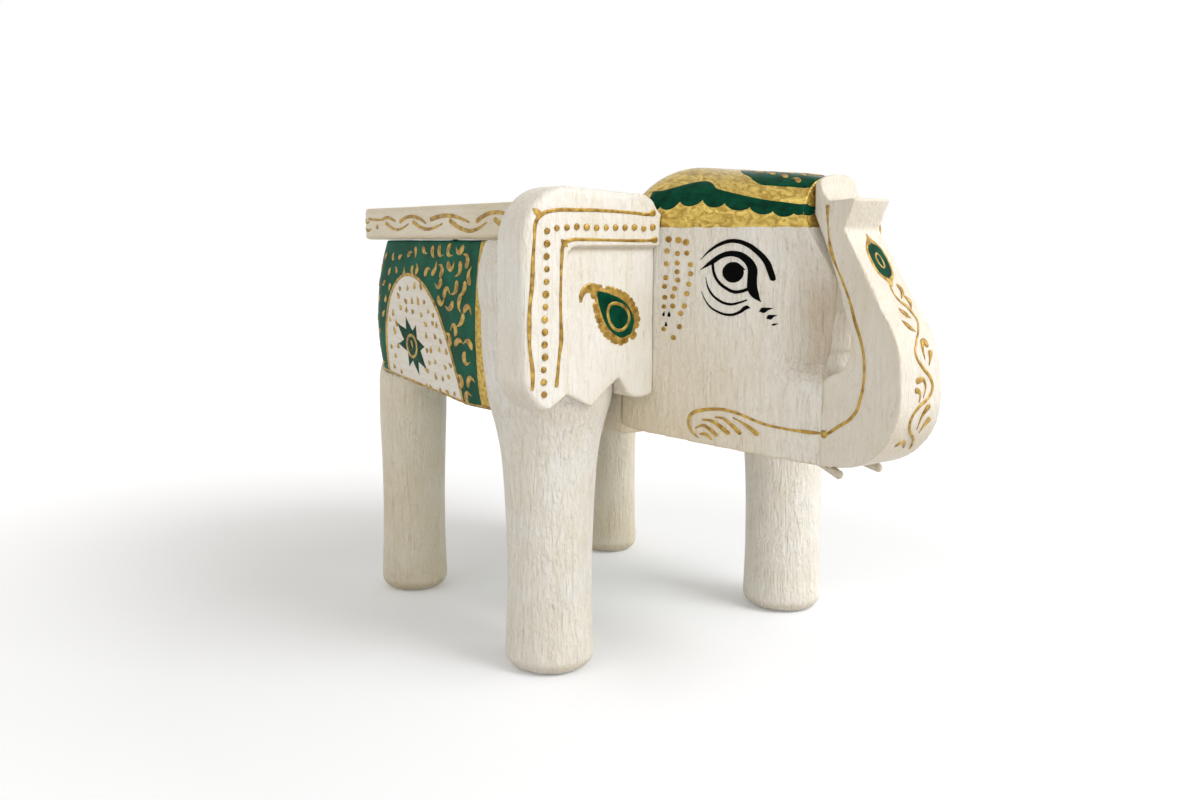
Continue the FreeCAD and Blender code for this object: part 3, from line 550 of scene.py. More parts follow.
edge_arches = [
    [(-119.9, 172.6, 0.5), (-107.6, 172.0, 0.6), (-101.6, 172.9, 0.8), (-93.8, 171.2, 0.5)],
    [(-89.1, 171.0, 0.9), (-82.5, 172.9, 0.8), (-72.5, 172.2, 0.8), (-66.3, 169.9, 0.4)],
    [(-61.9, 171.6, 1.0), (-51.7, 172.9, 0.9), (-41.1, 172.2, 0.8), (-31.6, 170.0, 0.4)],
    [(-25.4, 170.4, 1.0), (-20.2, 172.3, 0.9), (-12.8, 173.5, 0.8), (-4.0, 172.6, 0.7), (2.0, 170.4, 0.4)],
    [(6.5, 170.8, 1.0), (11.0, 172.6, 0.8), (16.0, 173.0, 0.5)],
    [(-102.6, 170.4, 0.9), (-96.7, 168.1, 0.7), (-90.0, 167.6, 0.6), (-81.6, 169.9, 0.3)],
    [(-77.0, 170.6, 1.0), (-70.7, 168.2, 0.8), (-63.7, 167.5, 0.7), (-52.6, 169.6, 0.3)],
    [(-46.0, 170.7, 1.1), (-38.7, 167.8, 0.9), (-28.5, 166.6, 0.8), (-17.9, 169.8, 0.3)],
    [(-12.0, 170.6, 1.1), (-5.0, 167.8, 0.9), (4.0, 166.8, 0.8), (13.0, 169.6, 0.3)],
    [(-124.0, 172.6, 0.4), (-122.6, 170.8, 0.6), (-119.6, 171.3, 0.4)],
    [(-124.4, 168.6, 0.4), (-121.0, 167.3, 0.7), (-117.8, 168.0, 0.4)],
    dot(-111.6, 168.8, 1.1),
]
for side_name, side in SIDES:
    brush("seat_edge_gold_" + side_name, edge_arches, side, seat, gold_paint)
rear_wave = []
for start in range(-68, 46, 26):
    rear_wave.append([(start, 171.0, 0.9), (start + 6, 172.8, 0.8), (start + 15, 172.2, 0.8),
                      (start + 22, 170.0, 0.4)])
    rear_wave.append([(start + 11, 170.6, 1.0), (start + 17, 168.0, 0.8), (start + 25, 167.3, 0.7),
                      (start + 33, 169.6, 0.3)])
brush("seat_edge_gold_rear", rear_wave, REAR_END, seat, gold_paint)
border = [[(along, BORDER_ASIDE * way, 0.6 + 0.15 * math.sin(along)) for along in range(-118, 14, 12)]
          for way in (-1, 1)]
border.append([(BORDER_REAR, aside, 0.6 + 0.15 * math.sin(aside)) for aside in range(-66, 67, 12)])
border += [dot(BORDER_REAR, BORDER_ASIDE * way, 1.6) for way in (-1, 1)]
brush("seat_border_gold", border, TOP_SIDE, seat, gold_paint)

# Chest: a block of wood between the shoulders that carries the head.
# Doweled to the body and the head, and painted off-white in the yellower coat: painted shade, as it stands
# under the head.
chest = carve("carved_chest", ["chest_block"], voxel=1.1, tool_marks=(12.0, 12.0, 30.0), depth=0.3)
chest.data.materials.append(shade_tinted_paint)
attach(chest, "root")
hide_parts("chest_block")

# Head: a wedge sawn from one block, its crown rounded over, doweled to the chest.
# The cheeks are scooped out with a gouge beside the trunk.
# Off-white face, with painted warm shade towards the throat and painted brown shade in the scoops beside the
# trunk, and a cap of gold paint over the crown.
CHEEK_START, CHEEK_END = 68.0, 94.0
CHEEK_FOOT = (112.0, 124.0)
CHEEK_TOP = (172.0, 148.0)
CHEEK_NARROWING = 0.5
THROAT_SHADE_LEVELS = (150.0, 95.0)
THROAT_SHADE_LENGTH = (92.0, 45.0)
THROAT_SHADE_SHARE = 0.5
SCOOP_SHADE = (("X", 78.0, 90.0), ("Z", 112.0, 124.0), ("Z", 162.0, 140.0))
SCOOP_SHADE_SHARE = 0.5
FRONT_FACING = (0.99, 0.9)
CAP_LEVEL = 167.4
CAP_WOBBLE = 0.8
CAP_WOBBLE_LENGTH = 6
GILT_STRETCH = (0.6, 1.0, 1.0)
GILT_DAB = 2.4
CAP_METAL = 0.65
CAP_ROUGHNESS = 0.28
CAP_RELIEF = 0.4
HEAD_RELIEF = 1.2

head = carve("carved_head", ["head_block"], voxel=0.8, tool_marks=(14.0, 14.0, 22.0), depth=0.35)
for vertex in head.data.vertices:
    share = 1.0
    for place, start, end in ((vertex.co.x, CHEEK_START, CHEEK_END), (vertex.co.z, *CHEEK_FOOT),
                              (vertex.co.z, *CHEEK_TOP)):
        part = min(1.0, max(0.0, (place / MM - start) / (end - start)))
        share *= part * part * (3 - 2 * part)
    vertex.co.y *= 1 - CHEEK_NARROWING * share
# Chalk paint with a gilded cap: a low sheen below, brushed dabs of gold with a soft gleam above.
head_paint, tree, shader = new_finish("ivory_and_gold_head_paint")
spot, ivory, rough, relief = ivory_layers(tree, VERTICAL_GRAIN, FRESH_COAT, furrows=0.25)
axes = put(tree, "ShaderNodeSeparateXYZ", {"Vector": spot}).node
# Painted warm shade: yellower low on the head and towards the throat.
low = put(tree, "ShaderNodeMapRange", {"Value": axes.outputs["Z"], "From Min": THROAT_SHADE_LEVELS[0],
                                       "From Max": THROAT_SHADE_LEVELS[1]})
rear = put(tree, "ShaderNodeMapRange", {"Value": axes.outputs["X"], "From Min": THROAT_SHADE_LENGTH[0],
                                        "From Max": THROAT_SHADE_LENGTH[1]})
throat_shade = put(tree, "ShaderNodeMath", {0: low, 1: rear}, operation="MULTIPLY")
throat_shade = put(tree, "ShaderNodeMath", {0: throat_shade, 1: THROAT_SHADE_SHARE}, operation="MULTIPLY")
ivory = put(tree, "ShaderNodeMix", {"Factor": throat_shade, "A": ivory, "B": linear("#DCC696")},
            data_type="RGBA").node.outputs["Result"]
# Painted brown shade in the scoops beside the trunk, kept off the faces that look straight ahead.
painted_scoop_shade = None
for axis, start, end in SCOOP_SHADE:
    part = put(tree, "ShaderNodeMapRange", {"Value": axes.outputs[axis], "From Min": start, "From Max": end},
               interpolation_type="SMOOTHSTEP")
    painted_scoop_shade = part if painted_scoop_shade is None else put(tree, "ShaderNodeMath", {0: painted_scoop_shade, 1: part}, operation="MULTIPLY")
facing = put(tree, "ShaderNodeNewGeometry", {}).node.outputs["Normal"]
facing = put(tree, "ShaderNodeSeparateXYZ", {"Vector": facing})
facing = put(tree, "ShaderNodeMapRange", {"Value": facing, "From Min": FRONT_FACING[0],
                                          "From Max": FRONT_FACING[1], "To Max": SCOOP_SHADE_SHARE})
painted_scoop_shade = put(tree, "ShaderNodeMath", {0: painted_scoop_shade, 1: facing}, operation="MULTIPLY")
ivory = put(tree, "ShaderNodeMix", {"Factor": painted_scoop_shade, "A": ivory, "B": linear("#AD8C54")},
            data_type="RGBA").node.outputs["Result"]
wobble = put(tree, "ShaderNodeTexNoise", {"Vector": spot, "Scale": 1 / CAP_WOBBLE_LENGTH, "Detail": 2.0})
wobble = put(tree, "ShaderNodeMapRange", {"Value": wobble, "To Min": -CAP_WOBBLE, "To Max": CAP_WOBBLE})
cap = put(tree, "ShaderNodeMath", {0: axes.outputs["Z"], 1: wobble}, operation="ADD")
cap = put(tree, "ShaderNodeMath", {0: cap, 1: CAP_LEVEL}, operation="GREATER_THAN")
swirl = put(tree, "ShaderNodeVectorMath", {0: spot, 1: GILT_STRETCH}, operation="MULTIPLY")
gilt = put(tree, "ShaderNodeTexNoise", {"Vector": swirl, "Scale": 1 / GILT_DAB, "Detail": 3.0,
                                        "Distortion": 1.4})
gold = tint(tree, linear("#A18337"), gilt, 0.36, 0.66, "#DCBF66")
colour = put(tree, "ShaderNodeMix", {"Factor": cap, "A": ivory, "B": gold}, data_type="RGBA")
metal = put(tree, "ShaderNodeMath", {0: cap, 1: CAP_METAL}, operation="MULTIPLY")
gloss = put(tree, "ShaderNodeMix", {"Factor": cap, "A": rough, "B": CAP_ROUGHNESS}).node.outputs["Result"]
leafing = put(tree, "ShaderNodeMath", {0: gilt, 1: CAP_RELIEF}, operation="MULTIPLY")
relief = put(tree, "ShaderNodeMix", {"Factor": cap, "A": relief, "B": leafing}).node.outputs["Result"]
bump = put(tree, "ShaderNodeBump", {"Height": relief, "Distance": HEAD_RELIEF * MM, "Strength": 0.9})
feed(tree, shader, {"Base Color": colour.node.outputs["Result"], "Metallic": metal, "Roughness": gloss,
                    "Normal": bump})
head.data.materials.append(head_paint)
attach(head, "root")
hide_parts("head_block")

# Cap ornament: a green band with scallops hanging on the gold, and a green field on the brow
# that carries gold leaves.
FRONT_SIDE = ((0, 1, 0), (0, 0, 1), (-1, 0, 0))
BROW_LEVEL = 184.9

band_line = [(28.4, 179.2, 2.1), (33.0, 179.4, 2.1), (40.0, 181.1, 2.2), (46.0, 181.8, 2.8),
             (49.5, 181.4, 2.6), (53.0, 180.0, 1.9), (58.0, 178.8, 1.7), (64.0, 177.5, 1.6),
             (70.0, 176.3, 1.5), (76.0, 175.2, 1.5), (81.0, 174.5, 1.5), (84.4, 174.0, 1.4),
             (86.0, 173.8, 1.4)]
scallop_ends = [(28.0, 177.0, 4.2), (34.6, 177.2, 4.3), (41.7, 179.0, 4.0), (50.8, 178.8, 3.4),
                (59.6, 176.8, 2.7), (69.3, 175.0, 2.6), (77.4, 173.6, 2.5), (84.0, 172.9, 1.6),
                (87.0, 172.9, 1.6)]
scallops = []
for (start, start_level, sag), (stop, stop_level, _) in zip(scallop_ends, scallop_ends[1:]):
    hanging = []
    for share in (0, 0.1, 0.25, 0.5, 0.75, 0.9, 1):
        drop = sag * math.sin(math.pi * share) ** 0.6
        level = start_level + (stop_level - start_level) * share
        hanging.append((start + (stop - start) * share, level + 0.6 - drop / 2, 0.6 + drop / 2))
    scallops.append(hanging)
brow_field = [(48.0, 0, 1.0), (50.5, 0, 7.5), (56.0, 0, 12.6), (62.7, 0, 15.2), (68.6, 0, 16.8),
              (73.5, 0, 15.6), (78.8, 0, 13.8), (83.0, 0, 12.2), (85.4, 0, 11.2), (86.6, 0, 10.4)]
brow_leaves = [[(along, 0, 0.5) for along in range(52, 87, 6)]]
for along in range(54, 84, 6):
    for way in (-1, 1):
        brow_leaves.append(leaf(along, 4.2 * way, 5.5, 1.0, 40 * way, 40 * way))
        if along > 56:
            brow_leaves.append(leaf(along + 2, 9.6 * way, 4.6, 1.0, 60 * way, 50 * way))
for side_name, side in SIDES:
    brush("cap_band_green_" + side_name, [band_line], side, head, green_paint, film=0.16)
    brush("cap_scallops_green_" + side_name, scallops, side, head, green_paint, film=0.12)
cap_front = [[(13.8 * way, 173.4, 2.0), (11.6 * way, 173.2, 2.0), (9.6 * way, 172.7, 1.4),
              (8.2 * way, 172.2, 0.1)] for way in (-1, 1)]
cap_front.append([(aside, BROW_LEVEL, 1.9) for aside in (-10.0, -5.0, 0.0, 5.0, 10.0)])
brush("cap_front_green", cap_front, FRONT_SIDE, head, green_paint, film=0.12)
brush("cap_brow_green", [brow_field], TOP_SIDE, head, green_paint, film=0.12, cuts=4)
brush("cap_leaves_gold", brow_leaves, TOP_SIDE, head, gold_paint, film=0.3)

# Face ornament: the eyes in black with a thick lid, arcs under them and small drops at the corner,
# three columns of gold drops beside the ear, and a gold feather along the jaw.
TOP_ROW = 161

eye_strokes = [
    [(51.8, 155.9, 0.1), (55.5, 159.4, 0.45), (60.7, 162.2, 0.7), (63.9, 162.6, 0.75), (67.8, 161.7, 0.85),
     (71.3, 159.4, 0.95), (74.4, 155.5, 1.0), (75.4, 152.3, 0.95), (76.1, 149.4, 0.85)],
    [(51.8, 152.2, 0.1), (55.9, 155.0, 0.85), (59.9, 157.5, 0.95), (63.9, 158.1, 1.1), (67.5, 156.8, 1.35),
     (70.2, 153.3, 1.6), (70.3, 149.4, 1.6), (70.4, 146.0, 1.65), (71.4, 143.4, 1.2), (73.0, 141.2, 0.1)],
    dot(63.7, 151.5, 3.9),
    [(64.5, 153.0, 2.3), (66.4, 152.9, 1.2), (68.0, 152.5, 0.1)],
    [(56.3, 155.2, 0.45), (56.6, 151.9, 0.5), (58.1, 148.5, 0.55), (61.4, 145.7, 0.6), (64.7, 144.5, 0.65),
     (69.2, 145.7, 0.55)],
    [(53.8, 149.7, 0.1), (55.0, 145.3, 0.35), (58.1, 141.8, 0.45), (62.5, 140.1, 0.5), (66.1, 140.8, 0.4),
     (68.7, 141.8, 0.25)],
    [(52.2, 144.5, 0.1), (54.8, 139.8, 0.3), (58.1, 137.4, 0.4), (62.9, 136.3, 0.5), (66.4, 137.5, 0.55),
     (68.7, 139.2, 0.75), (69.9, 138.9, 0.1)],
    [(72.6, 137.9, 0.2), (73.4, 138.2, 1.0), (74.6, 138.7, 0.6), (76.4, 139.1, 0.05)],
    [(74.6, 135.4, 0.2), (75.3, 135.8, 0.9), (76.2, 136.3, 0.5), (77.4, 136.6, 0.05)],
    [(75.9, 133.1, 0.1), (76.5, 133.3, 0.4), (77.8, 133.7, 0.05)],
    leaf(37.9, 135.8, 2.0, 0.5, 10), leaf(38.8, 132.0, 2.0, 0.5, 0), leaf(40.0, 135.7, 2.2, 0.6, 0),
]
drop_columns = [
    [(39.4, 163.2), (38.8, 158.9), (38.6, 154.2), (38.4, 149.1), (38.0, 145.9), (38.2, 141.8)],
    [(43.3, 162.9), (43.0, 158.0), (42.9, 154.5), (42.9, 151.3), (43.1, 148.3), (42.1, 145.1), (41.4, 142.3),
     (41.4, 138.7), (41.7, 127.1)],
    [(46.2, 162.1), (46.6, 158.2), (48.0, 154.0), (48.2, 150.7), (47.6, 146.9), (46.8, 143.4), (45.9, 138.9),
     (44.5, 136.1), (44.1, 131.2)],
]
face_gold = [dot(along, level, 1.25 if level > TOP_ROW else 1.0)
             for column in drop_columns for along, level in column]
face_gold += [dot(37.9, 138.4, 0.9), dot(37.9, 130.1, 0.9)]
face_gold += [
    [(52.1, 90.6, 0.2), (49.1, 93.0, 0.45), (47.9, 96.5, 0.55), (49.4, 99.6, 0.65), (52.4, 100.9, 0.7),
     (56.9, 101.8, 0.6), (61.7, 101.9, 0.6), (66.4, 101.0, 0.55), (70.6, 99.6, 0.5), (75.0, 98.2, 0.5),
     (80.1, 97.3, 0.45), (85.6, 96.8, 0.5), (89.8, 96.6, 0.75), (93.6, 96.6, 0.4)],
    [(52.3, 92.2, 0.3), (54.4, 92.4, 0.6), (56.6, 90.7, 0.4)],
    [(50.4, 94.2, 0.2), (53.6, 95.5, 0.55), (55.8, 94.4, 0.65), (58.5, 92.5, 0.7)],
    [(53.2, 97.6, 0.3), (56.6, 97.4, 0.6), (59.5, 95.9, 0.8), (62.5, 93.7, 0.9)],
    [(58.0, 98.9, 0.3), (60.6, 98.8, 0.5), (63.9, 96.7, 0.7), (66.8, 94.1, 0.8)],
    [(64.3, 99.5, 0.2), (67.5, 98.0, 0.4), (69.9, 96.6, 0.7), (73.0, 94.4, 0.9)],
]
for side_name, side in SIDES:
    brush("eye_black_" + side_name, eye_strokes, side, head, black_paint)
    brush("face_gold_" + side_name, face_gold, side, head, gold_paint)

# Trunk: a board sawn to the outline of the raised trunk, its tip rounded off behind the lip.
# Doweled and glued to the jaw, where the seam shows, and painted off-white.
TIP_LEVEL = 176.0
TIP_BACK_LIP = 100.0
TIP_CORNER_DROP = 4.0
TIP_CORNER_POWER = 2.5
TRUNK_COAT = ("#EBE6DB", "#E4DCCD")

trunk = carve("carved_trunk", ["trunk"], voxel=0.7, tool_marks=(9.0, 9.0, 16.0), depth=0.3)
trunk_half = max(vertex.co.y for vertex in trunk.data.vertices)
tip_top = max(vertex.co.z for vertex in trunk.data.vertices) / MM
for vertex in trunk.data.vertices:
    if vertex.co.z > TIP_LEVEL * MM and vertex.co.x < TIP_BACK_LIP * MM:
        share = (vertex.co.z / MM - TIP_LEVEL) / (tip_top - TIP_LEVEL)
        vertex.co.z -= TIP_CORNER_DROP * MM * share * abs(vertex.co.y / trunk_half) ** TIP_CORNER_POWER
# Chalk paint on a sawn board: a shade greyer than the face, with fine furrows.
trunk.data.materials.append(ivory_paint("ivory_chalk_paint_on_trunk", VERTICAL_GRAIN, TRUNK_COAT,
                                        furrows=0.2, ridge_height=0.5))
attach(trunk, "root")
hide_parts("trunk")

# Trunk ornament: a gold line up each side from a dot on the glue seam, and on the front
# a green medallion in a gold rim over a gold vine with curled leaves.
MEDALLION = (1.2, 156.0)

trunk_line = [
    [(97.6, 97.0, 0.55), (103.2, 100.7, 0.6), (107.0, 103.2, 0.6), (109.9, 106.9, 0.6), (111.0, 110.4, 0.6),
     (112.0, 115.6, 0.5), (112.0, 120.9, 0.5), (111.2, 126.2, 0.5), (109.4, 131.1, 0.55),
     (107.1, 136.0, 0.65), (104.6, 142.6, 0.45), (101.2, 149.2, 0.45), (98.3, 153.9, 0.35),
     (95.8, 159.0, 0.75), (94.6, 164.1, 0.35), (94.0, 169.6, 0.35), (93.8, 174.2, 0.8)],
    dot(95.9, 96.6, 1.5),
]
medallion_rim = [(MEDALLION[0], MEDALLION[1] + rise, half) for rise, half in (
    (9.0, 0.2), (7.6, 0.9), (6.4, 2.1), (5.0, 3.5), (3.0, 4.5), (0, 4.8), (-3.0, 4.5), (-5.0, 3.5),
    (-6.4, 2.0), (-7.6, 0.8), (-8.6, 0.2))]
medallion_field = [(MEDALLION[0], MEDALLION[1] + rise, half) for rise, half in (
    (5.7, 0.5), (5.1, 2.1), (3.6, 3.4), (1.2, 3.9), (-1.2, 3.9), (-3.6, 3.4), (-5.1, 2.1), (-5.7, 0.5))]
medallion_heart = [(MEDALLION[0] + 1.3 * math.sin(math.radians(turn)),
                    MEDALLION[1] + 2.4 * math.cos(math.radians(turn)), 0.5) for turn in range(0, 361, 45)]
vine = [
    [(0.8, 149.0, 0.35), (0.1, 146.8, 0.3), (0.8, 143.5, 0.4), (4.0, 140.5, 0.55), (5.0, 136.9, 0.4),
     (3.3, 133.8, 0.35), (-0.7, 129.2, 0.4), (-2.0, 125.7, 0.45), (0.8, 121.6, 0.6), (4.9, 117.7, 0.6),
     (5.6, 115.1, 0.6), (3.4, 111.6, 0.6), (-0.9, 109.0, 0.6), (-3.9, 104.9, 0.55), (-2.7, 101.3, 0.5),
     (2.4, 97.3, 0.5), (4.8, 93.6, 0.4)],
    [(4.2, 147.7, 0.6), (5.0, 146.0, 0.8), (2.9, 143.6, 0.2)],
    [(5.3, 144.0, 0.5), (6.2, 142.5, 0.75), (5.4, 140.0, 0.15)],
    [(-0.6, 140.3, 0.3), (1.2, 138.4, 0.9), (2.6, 137.2, 0.1)],
    [(-2.4, 136.6, 0.3), (-0.8, 134.6, 0.85), (1.6, 133.0, 0.1)],
    [(4.6, 128.7, 0.9), (3.4, 130.0, 1.0), (2.1, 127.8, 0.55), (2.2, 124.2, 0.2)],
    [(5.5, 126.2, 1.0), (4.9, 124.2, 0.55), (4.0, 122.2, 0.2)],
    [(-1.7, 117.5, 1.1), (0.8, 117.8, 0.65), (1.9, 116.0, 0.5), (0.8, 111.8, 0.2)],
    [(-2.6, 114.4, 1.0), (-0.9, 113.4, 0.5), (-1.2, 110.7, 0.3)],
    [(3.7, 108.6, 1.1), (1.4, 105.5, 0.5), (1.1, 101.0, 0.2)],
    [(5.6, 104.1, 1.0), (4.2, 102.1, 0.6), (3.4, 99.6, 0.2)],
    [(-4.8, 95.8, 0.6), (-2.7, 96.9, 0.7), (0.6, 94.4, 0.3)],
]
for side_name, side in SIDES:
    brush("trunk_line_gold_" + side_name, trunk_line, side, trunk, gold_paint)
brush("trunk_medallion_rim_gold", [medallion_rim], FRONT_SIDE, trunk, gold_paint, film=0.2, cuts=1)
brush("trunk_medallion_green", [medallion_field], FRONT_SIDE, trunk, green_paint, film=0.3, cuts=1)
brush("trunk_vine_gold", vine + [medallion_heart], FRONT_SIDE, trunk, gold_paint, film=0.4)

# Ears: thick slabs of wood with a sunk panel and a zigzag lower edge, doweled to the shoulders.
# Painted off-white, with two gold lines and a row of raised beads along the edge,
# and on the panel a green paisley in a beaded gold rim.
BEAD_STEPS = (4.33, 4.35)
PAISLEY_ASIDE = (0.69, -0.72)
PAISLEY_BEAD = 1.35

ear_border = [
    [(37.6, 172.8, 1.3), (39.5, 172.3, 0.7), (46.3, 172.7, 0.6), (59.5, 173.3, 0.6), (73.1, 173.4, 0.7),
     (83.7, 172.9, 0.7), (87.1, 171.8, 0.8), (89.7, 169.3, 0.8), (90.4, 163.4, 0.6), (91.0, 155.6, 0.8),
     (91.4, 147.6, 0.9), (92.3, 140.2, 0.7), (92.5, 132.5, 0.8), (92.3, 125.2, 0.6), (91.2, 117.8, 0.9),
     (91.2, 111.6, 0.6)],
    [(36.6, 163.0, 1.3), (38.6, 162.8, 0.6), (43.0, 162.7, 0.6), (57.2, 162.9, 0.5), (69.5, 163.1, 0.6),
     (74.4, 163.0, 0.7), (78.0, 161.5, 0.8), (78.9, 156.9, 0.7), (79.3, 149.1, 0.5), (79.5, 142.0, 0.6),
     (79.3, 134.8, 0.6), (79.1, 128.4, 0.9), (80.0, 122.0, 0.6), (80.6, 116.4, 0.7), (81.1, 112.2, 0.8)],
    [(90.2, 173.3, 0.5), (89.2, 172.4, 1.3), (87.6, 171.0, 0.4)],
    [(78.9, 162.9, 0.5), (78.0, 162.0, 1.2), (76.6, 160.8, 0.3)],
]
chance = random.Random(2)
ear_beads = [dot(37.8 + BEAD_STEPS[0] * place, 167.3 + chance.uniform(-0.3, 0.3), chance.uniform(1.1, 1.3))
             for place in range(11)]
ear_beads += [dot(85.2 + 0.09 * place + chance.uniform(-0.4, 0.4), 166.0 - BEAD_STEPS[1] * place,
                  chance.uniform(1.1, 1.35)) for place in range(14)]
paisley_field = [(61.6, 144.5, 0.3), (59.2, 142.2, 2.8), (56.9, 139.9, 4.6), (54.3, 137.4, 6.1),
                 (51.7, 134.8, 6.6), (49.0, 132.0, 5.9), (47.2, 130.2, 4.3), (45.6, 128.7, 0.1)]
paisley_base = [(63.2, 145.8, 0.6), (59.2, 142.2, 4.2), (56.9, 139.9, 6.1), (54.3, 137.4, 7.6),
                (51.7, 134.8, 8.1), (48.8, 132.0, 7.4), (46.5, 129.7, 5.6), (44.6, 127.8, 0.1)]
paisley_tail = [(60.3, 144.0, 2.4), (64.3, 145.8, 2.0), (66.8, 145.3, 1.5), (68.5, 143.3, 1.1),
                (68.9, 141.3, 0.6)]
paisley_rim = [paisley_base, paisley_tail]
for start, stop in zip(paisley_base[:-1], paisley_base[1:]):
    for share in (0.35, 0.95):
        along, level, half = (first + (last - first) * share for first, last in zip(start, stop))
        for way in (-1, 1):
            paisley_rim.append(dot(along + way * half * PAISLEY_ASIDE[0],
                                   level + way * half * PAISLEY_ASIDE[1], PAISLEY_BEAD))
paisley_ring = []
for turn in range(0, 361, 30):
    lengthwise = 5.6 * math.cos(math.radians(turn))
    sidewise = 4.4 * math.sin(math.radians(turn)) * (1 - 0.2 * math.cos(math.radians(turn)))
    paisley_ring.append((52.2 + (lengthwise - sidewise) * 0.7, 135.4 + (lengthwise + sidewise) * 0.7, 0.8))
# Chalk paint on smoothed slabs: the same fresh white as the front legs, with finer furrows.
ear_paint = ivory_paint("ivory_chalk_paint_on_ears", VERTICAL_GRAIN, FRESH_COAT,
                        furrows=0.25, ridge_height=0.6)
for side in ("left", "right"):
    ear = carve("carved_ear_" + side, ["ear_" + side], voxel=0.7, tool_marks=(12.0, 12.0, 18.0), depth=0.35,
                smoothing=2)
    ear.data.materials.append(ear_paint)
    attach(ear, "root")
    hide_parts("ear_" + side)
    ear_face = ((0, -1 if side == "right" else 1, 0), (0, 0, 1), (-1, 0, 0))
    brush("ear_border_gold_" + side, ear_border, ear_face, ear, gold_paint, film=0.28)
    brush("ear_beads_gold_" + side, ear_beads, ear_face, ear, gold_paint, film=0.6)
    brush("paisley_rim_gold_" + side, paisley_rim, ear_face, ear, gold_paint, film=0.25)
    brush("paisley_green_" + side, [paisley_field], ear_face, ear, green_paint, film=0.4)
    brush("paisley_ring_gold_" + side, [paisley_ring], ear_face, ear, gold_paint, film=0.6)
bpy.data.objects.remove(brush_tip)

# Dowels and nails: turned wooden pins glued into bores, and wire nails under the plugs of the seat.
# Both are hidden in the joints and left bare, as they came from the shop.

# Bare turned wood: dry and matt, brown in two tones.
dowel_wood = brushed_paint("bare_turned_wood", "#8A6238", "#B98D58", patch=1.5, roughness=0.65,
                           metallic=0.0, relief=0.1, gloss=0.3)
# Drawn steel wire: grey, smooth, with a plain metal sheen.
nail_steel = brushed_paint("drawn_steel_wire", "#6E6E70", "#9A9A9C", patch=1.0, roughness=0.35,
                           metallic=0.95, relief=0.02, gloss=0.5)
for node in ("leg_dowels", "shoulder_dowels", "chest_dowels", "head_dowels", "ear_dowels", "trunk_dowels",
             "seat_nails"):
    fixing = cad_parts[node].data
    fixing.materials.clear()
    fixing.materials.append(nail_steel if node == "seat_nails" else dowel_wood)

# Tusks: two thin wooden pegs let into holes in the jaw, under the trunk.
# They are painted off-white, like the front legs.
for side in ("left", "right"):
    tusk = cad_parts["tusk_" + side]
    tusk.data.materials.clear()
    tusk.data.materials.append(leg_paint)

# Studio: a plain white floor in white surroundings, which look white and give a dimmer, warmer light.
# A large soft lamp stands high in front, a weaker one low at the left, and a dim one at the right.
FLOOR_SIZE = 12
GLOW_REACH = (0.2, 0.7)
GLOW = (0.18, 0.6)
SURROUND_LIGHT = 0.48
LAMP_AIM = (0, 0, 0.1)


def seen_white(tree):
    """One where a ray comes from the camera or a gloss, so that the white shows but lights nothing."""
    rays = put(tree, "ShaderNodeLightPath", {}).node
    return put(tree, "ShaderNodeMath", {0: rays.outputs["Is Camera Ray"], 1: rays.outputs["Is Glossy Ray"]},
               operation="MAXIMUM")


bpy.ops.object.select_all(action="DESELECT")
bpy.ops.mesh.primitive_plane_add(size=FLOOR_SIZE)
floor = bpy.context.object
floor.name = "floor"
# Matt white studio paper: no gleam. It glows where the camera sees it, a painted light that is weak near the
# object and runs out to plain white away from the object's shadow.
floor_finish, tree, shader = new_finish("white_studio_floor")
seen = seen_white(tree)
place = put(tree, "ShaderNodeTexCoord", {}).node.outputs["Object"]
away = put(tree, "ShaderNodeVectorMath", {0: place}, operation="LENGTH").node.outputs["Value"]
glow = put(tree, "ShaderNodeMapRange", {"Value": away, "From Min": GLOW_REACH[0], "From Max": GLOW_REACH[1],
                                        "To Min": GLOW[0], "To Max": GLOW[1]})
glow = put(tree, "ShaderNodeMath", {0: seen, 1: glow}, operation="MULTIPLY")
feed(tree, shader, {"Base Color": linear("#F0F3F9"), "Roughness": 0.9,
                    "Emission Color": linear("#FFFFFF"), "Emission Strength": glow})
floor.data.materials.append(floor_finish)

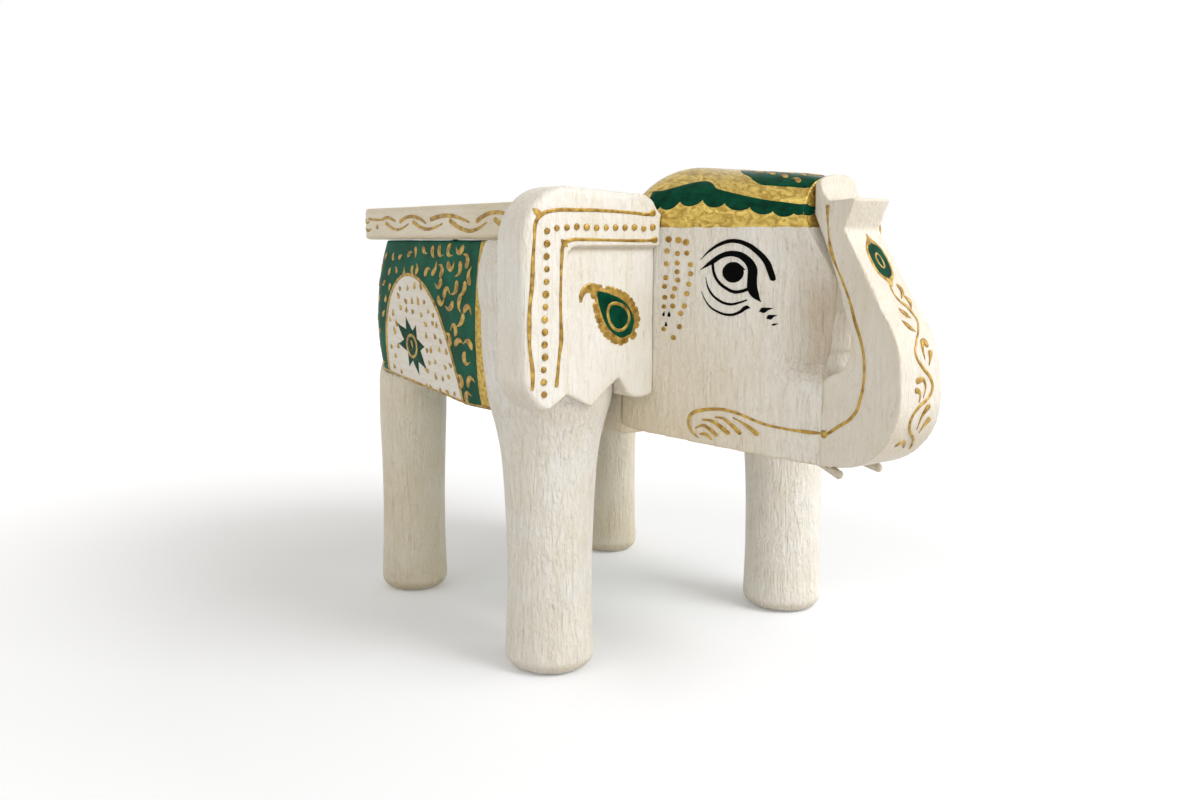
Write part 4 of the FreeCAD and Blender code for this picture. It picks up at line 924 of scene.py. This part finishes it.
world = bpy.data.worlds.new("white_studio")
bpy.context.scene.world = world
world.use_nodes = True
tree = world.node_tree
seen = seen_white(tree)
level = put(tree, "ShaderNodeMapRange", {"Value": seen, "To Min": SURROUND_LIGHT, "To Max": 1.0})
tone = put(tree, "ShaderNodeMix", {"Factor": seen, "A": linear("#FFF8EC"), "B": linear("#FFFFFF")},
           data_type="RGBA")
feed(tree, tree.nodes["Background"], {"Color": tone.node.outputs["Result"], "Strength": level})

# Each lamp: its place and width in metres, and its power in watts.
for lamp_name, place, wide, power in (("key_lamp", (1.12, 0.44, 1.12), 0.8, 14.5),
                                      ("low_lamp", (0.8, 1.15, 0.55), 0.9, 4),
                                      ("fill_lamp", (0.2, -1.5, 0.9), 1.2, 3)):
    lamp = bpy.data.lights.new(lamp_name, "AREA")
    lamp.size = wide
    lamp.energy = power
    lamp_object = bpy.data.objects.new(lamp_name, lamp)
    lamp_object.location = place
    lamp_object.rotation_euler = (Vector(LAMP_AIM) - Vector(place)).to_track_quat("-Z", "Y").to_euler()
    bpy.context.collection.objects.link(lamp_object)

# Camera: off the front right corner, at about the height of the eyes, looking a little down.
# Its shift frames the object as the photograph does.
CAMERA_PLACE = (0.3569, -0.3110, 0.1629)
CAMERA_TURN = math.radians(34.81)
CAMERA_DIP = math.radians(5.02)
CAMERA_SHIFT = (0.05, -0.05)
FOCAL_PIXELS = 1137.2
IMAGE_WIDTH = 1200
SENSOR_WIDTH = 36

camera = bpy.data.cameras.new("camera")
camera.sensor_width = SENSOR_WIDTH
camera.lens = FOCAL_PIXELS / IMAGE_WIDTH * SENSOR_WIDTH
camera.shift_x, camera.shift_y = CAMERA_SHIFT
camera.clip_start = 0.01
camera_object = bpy.data.objects.new("camera", camera)
camera_object.location = CAMERA_PLACE
gaze = Vector((-math.cos(CAMERA_TURN) * math.cos(CAMERA_DIP), math.sin(CAMERA_TURN) * math.cos(CAMERA_DIP),
               -math.sin(CAMERA_DIP)))
camera_object.rotation_euler = gaze.to_track_quat("-Z", "Y").to_euler()
bpy.context.collection.objects.link(camera_object)
bpy.context.scene.camera = camera_object
bpy.context.scene.view_settings.view_transform = "Standard"
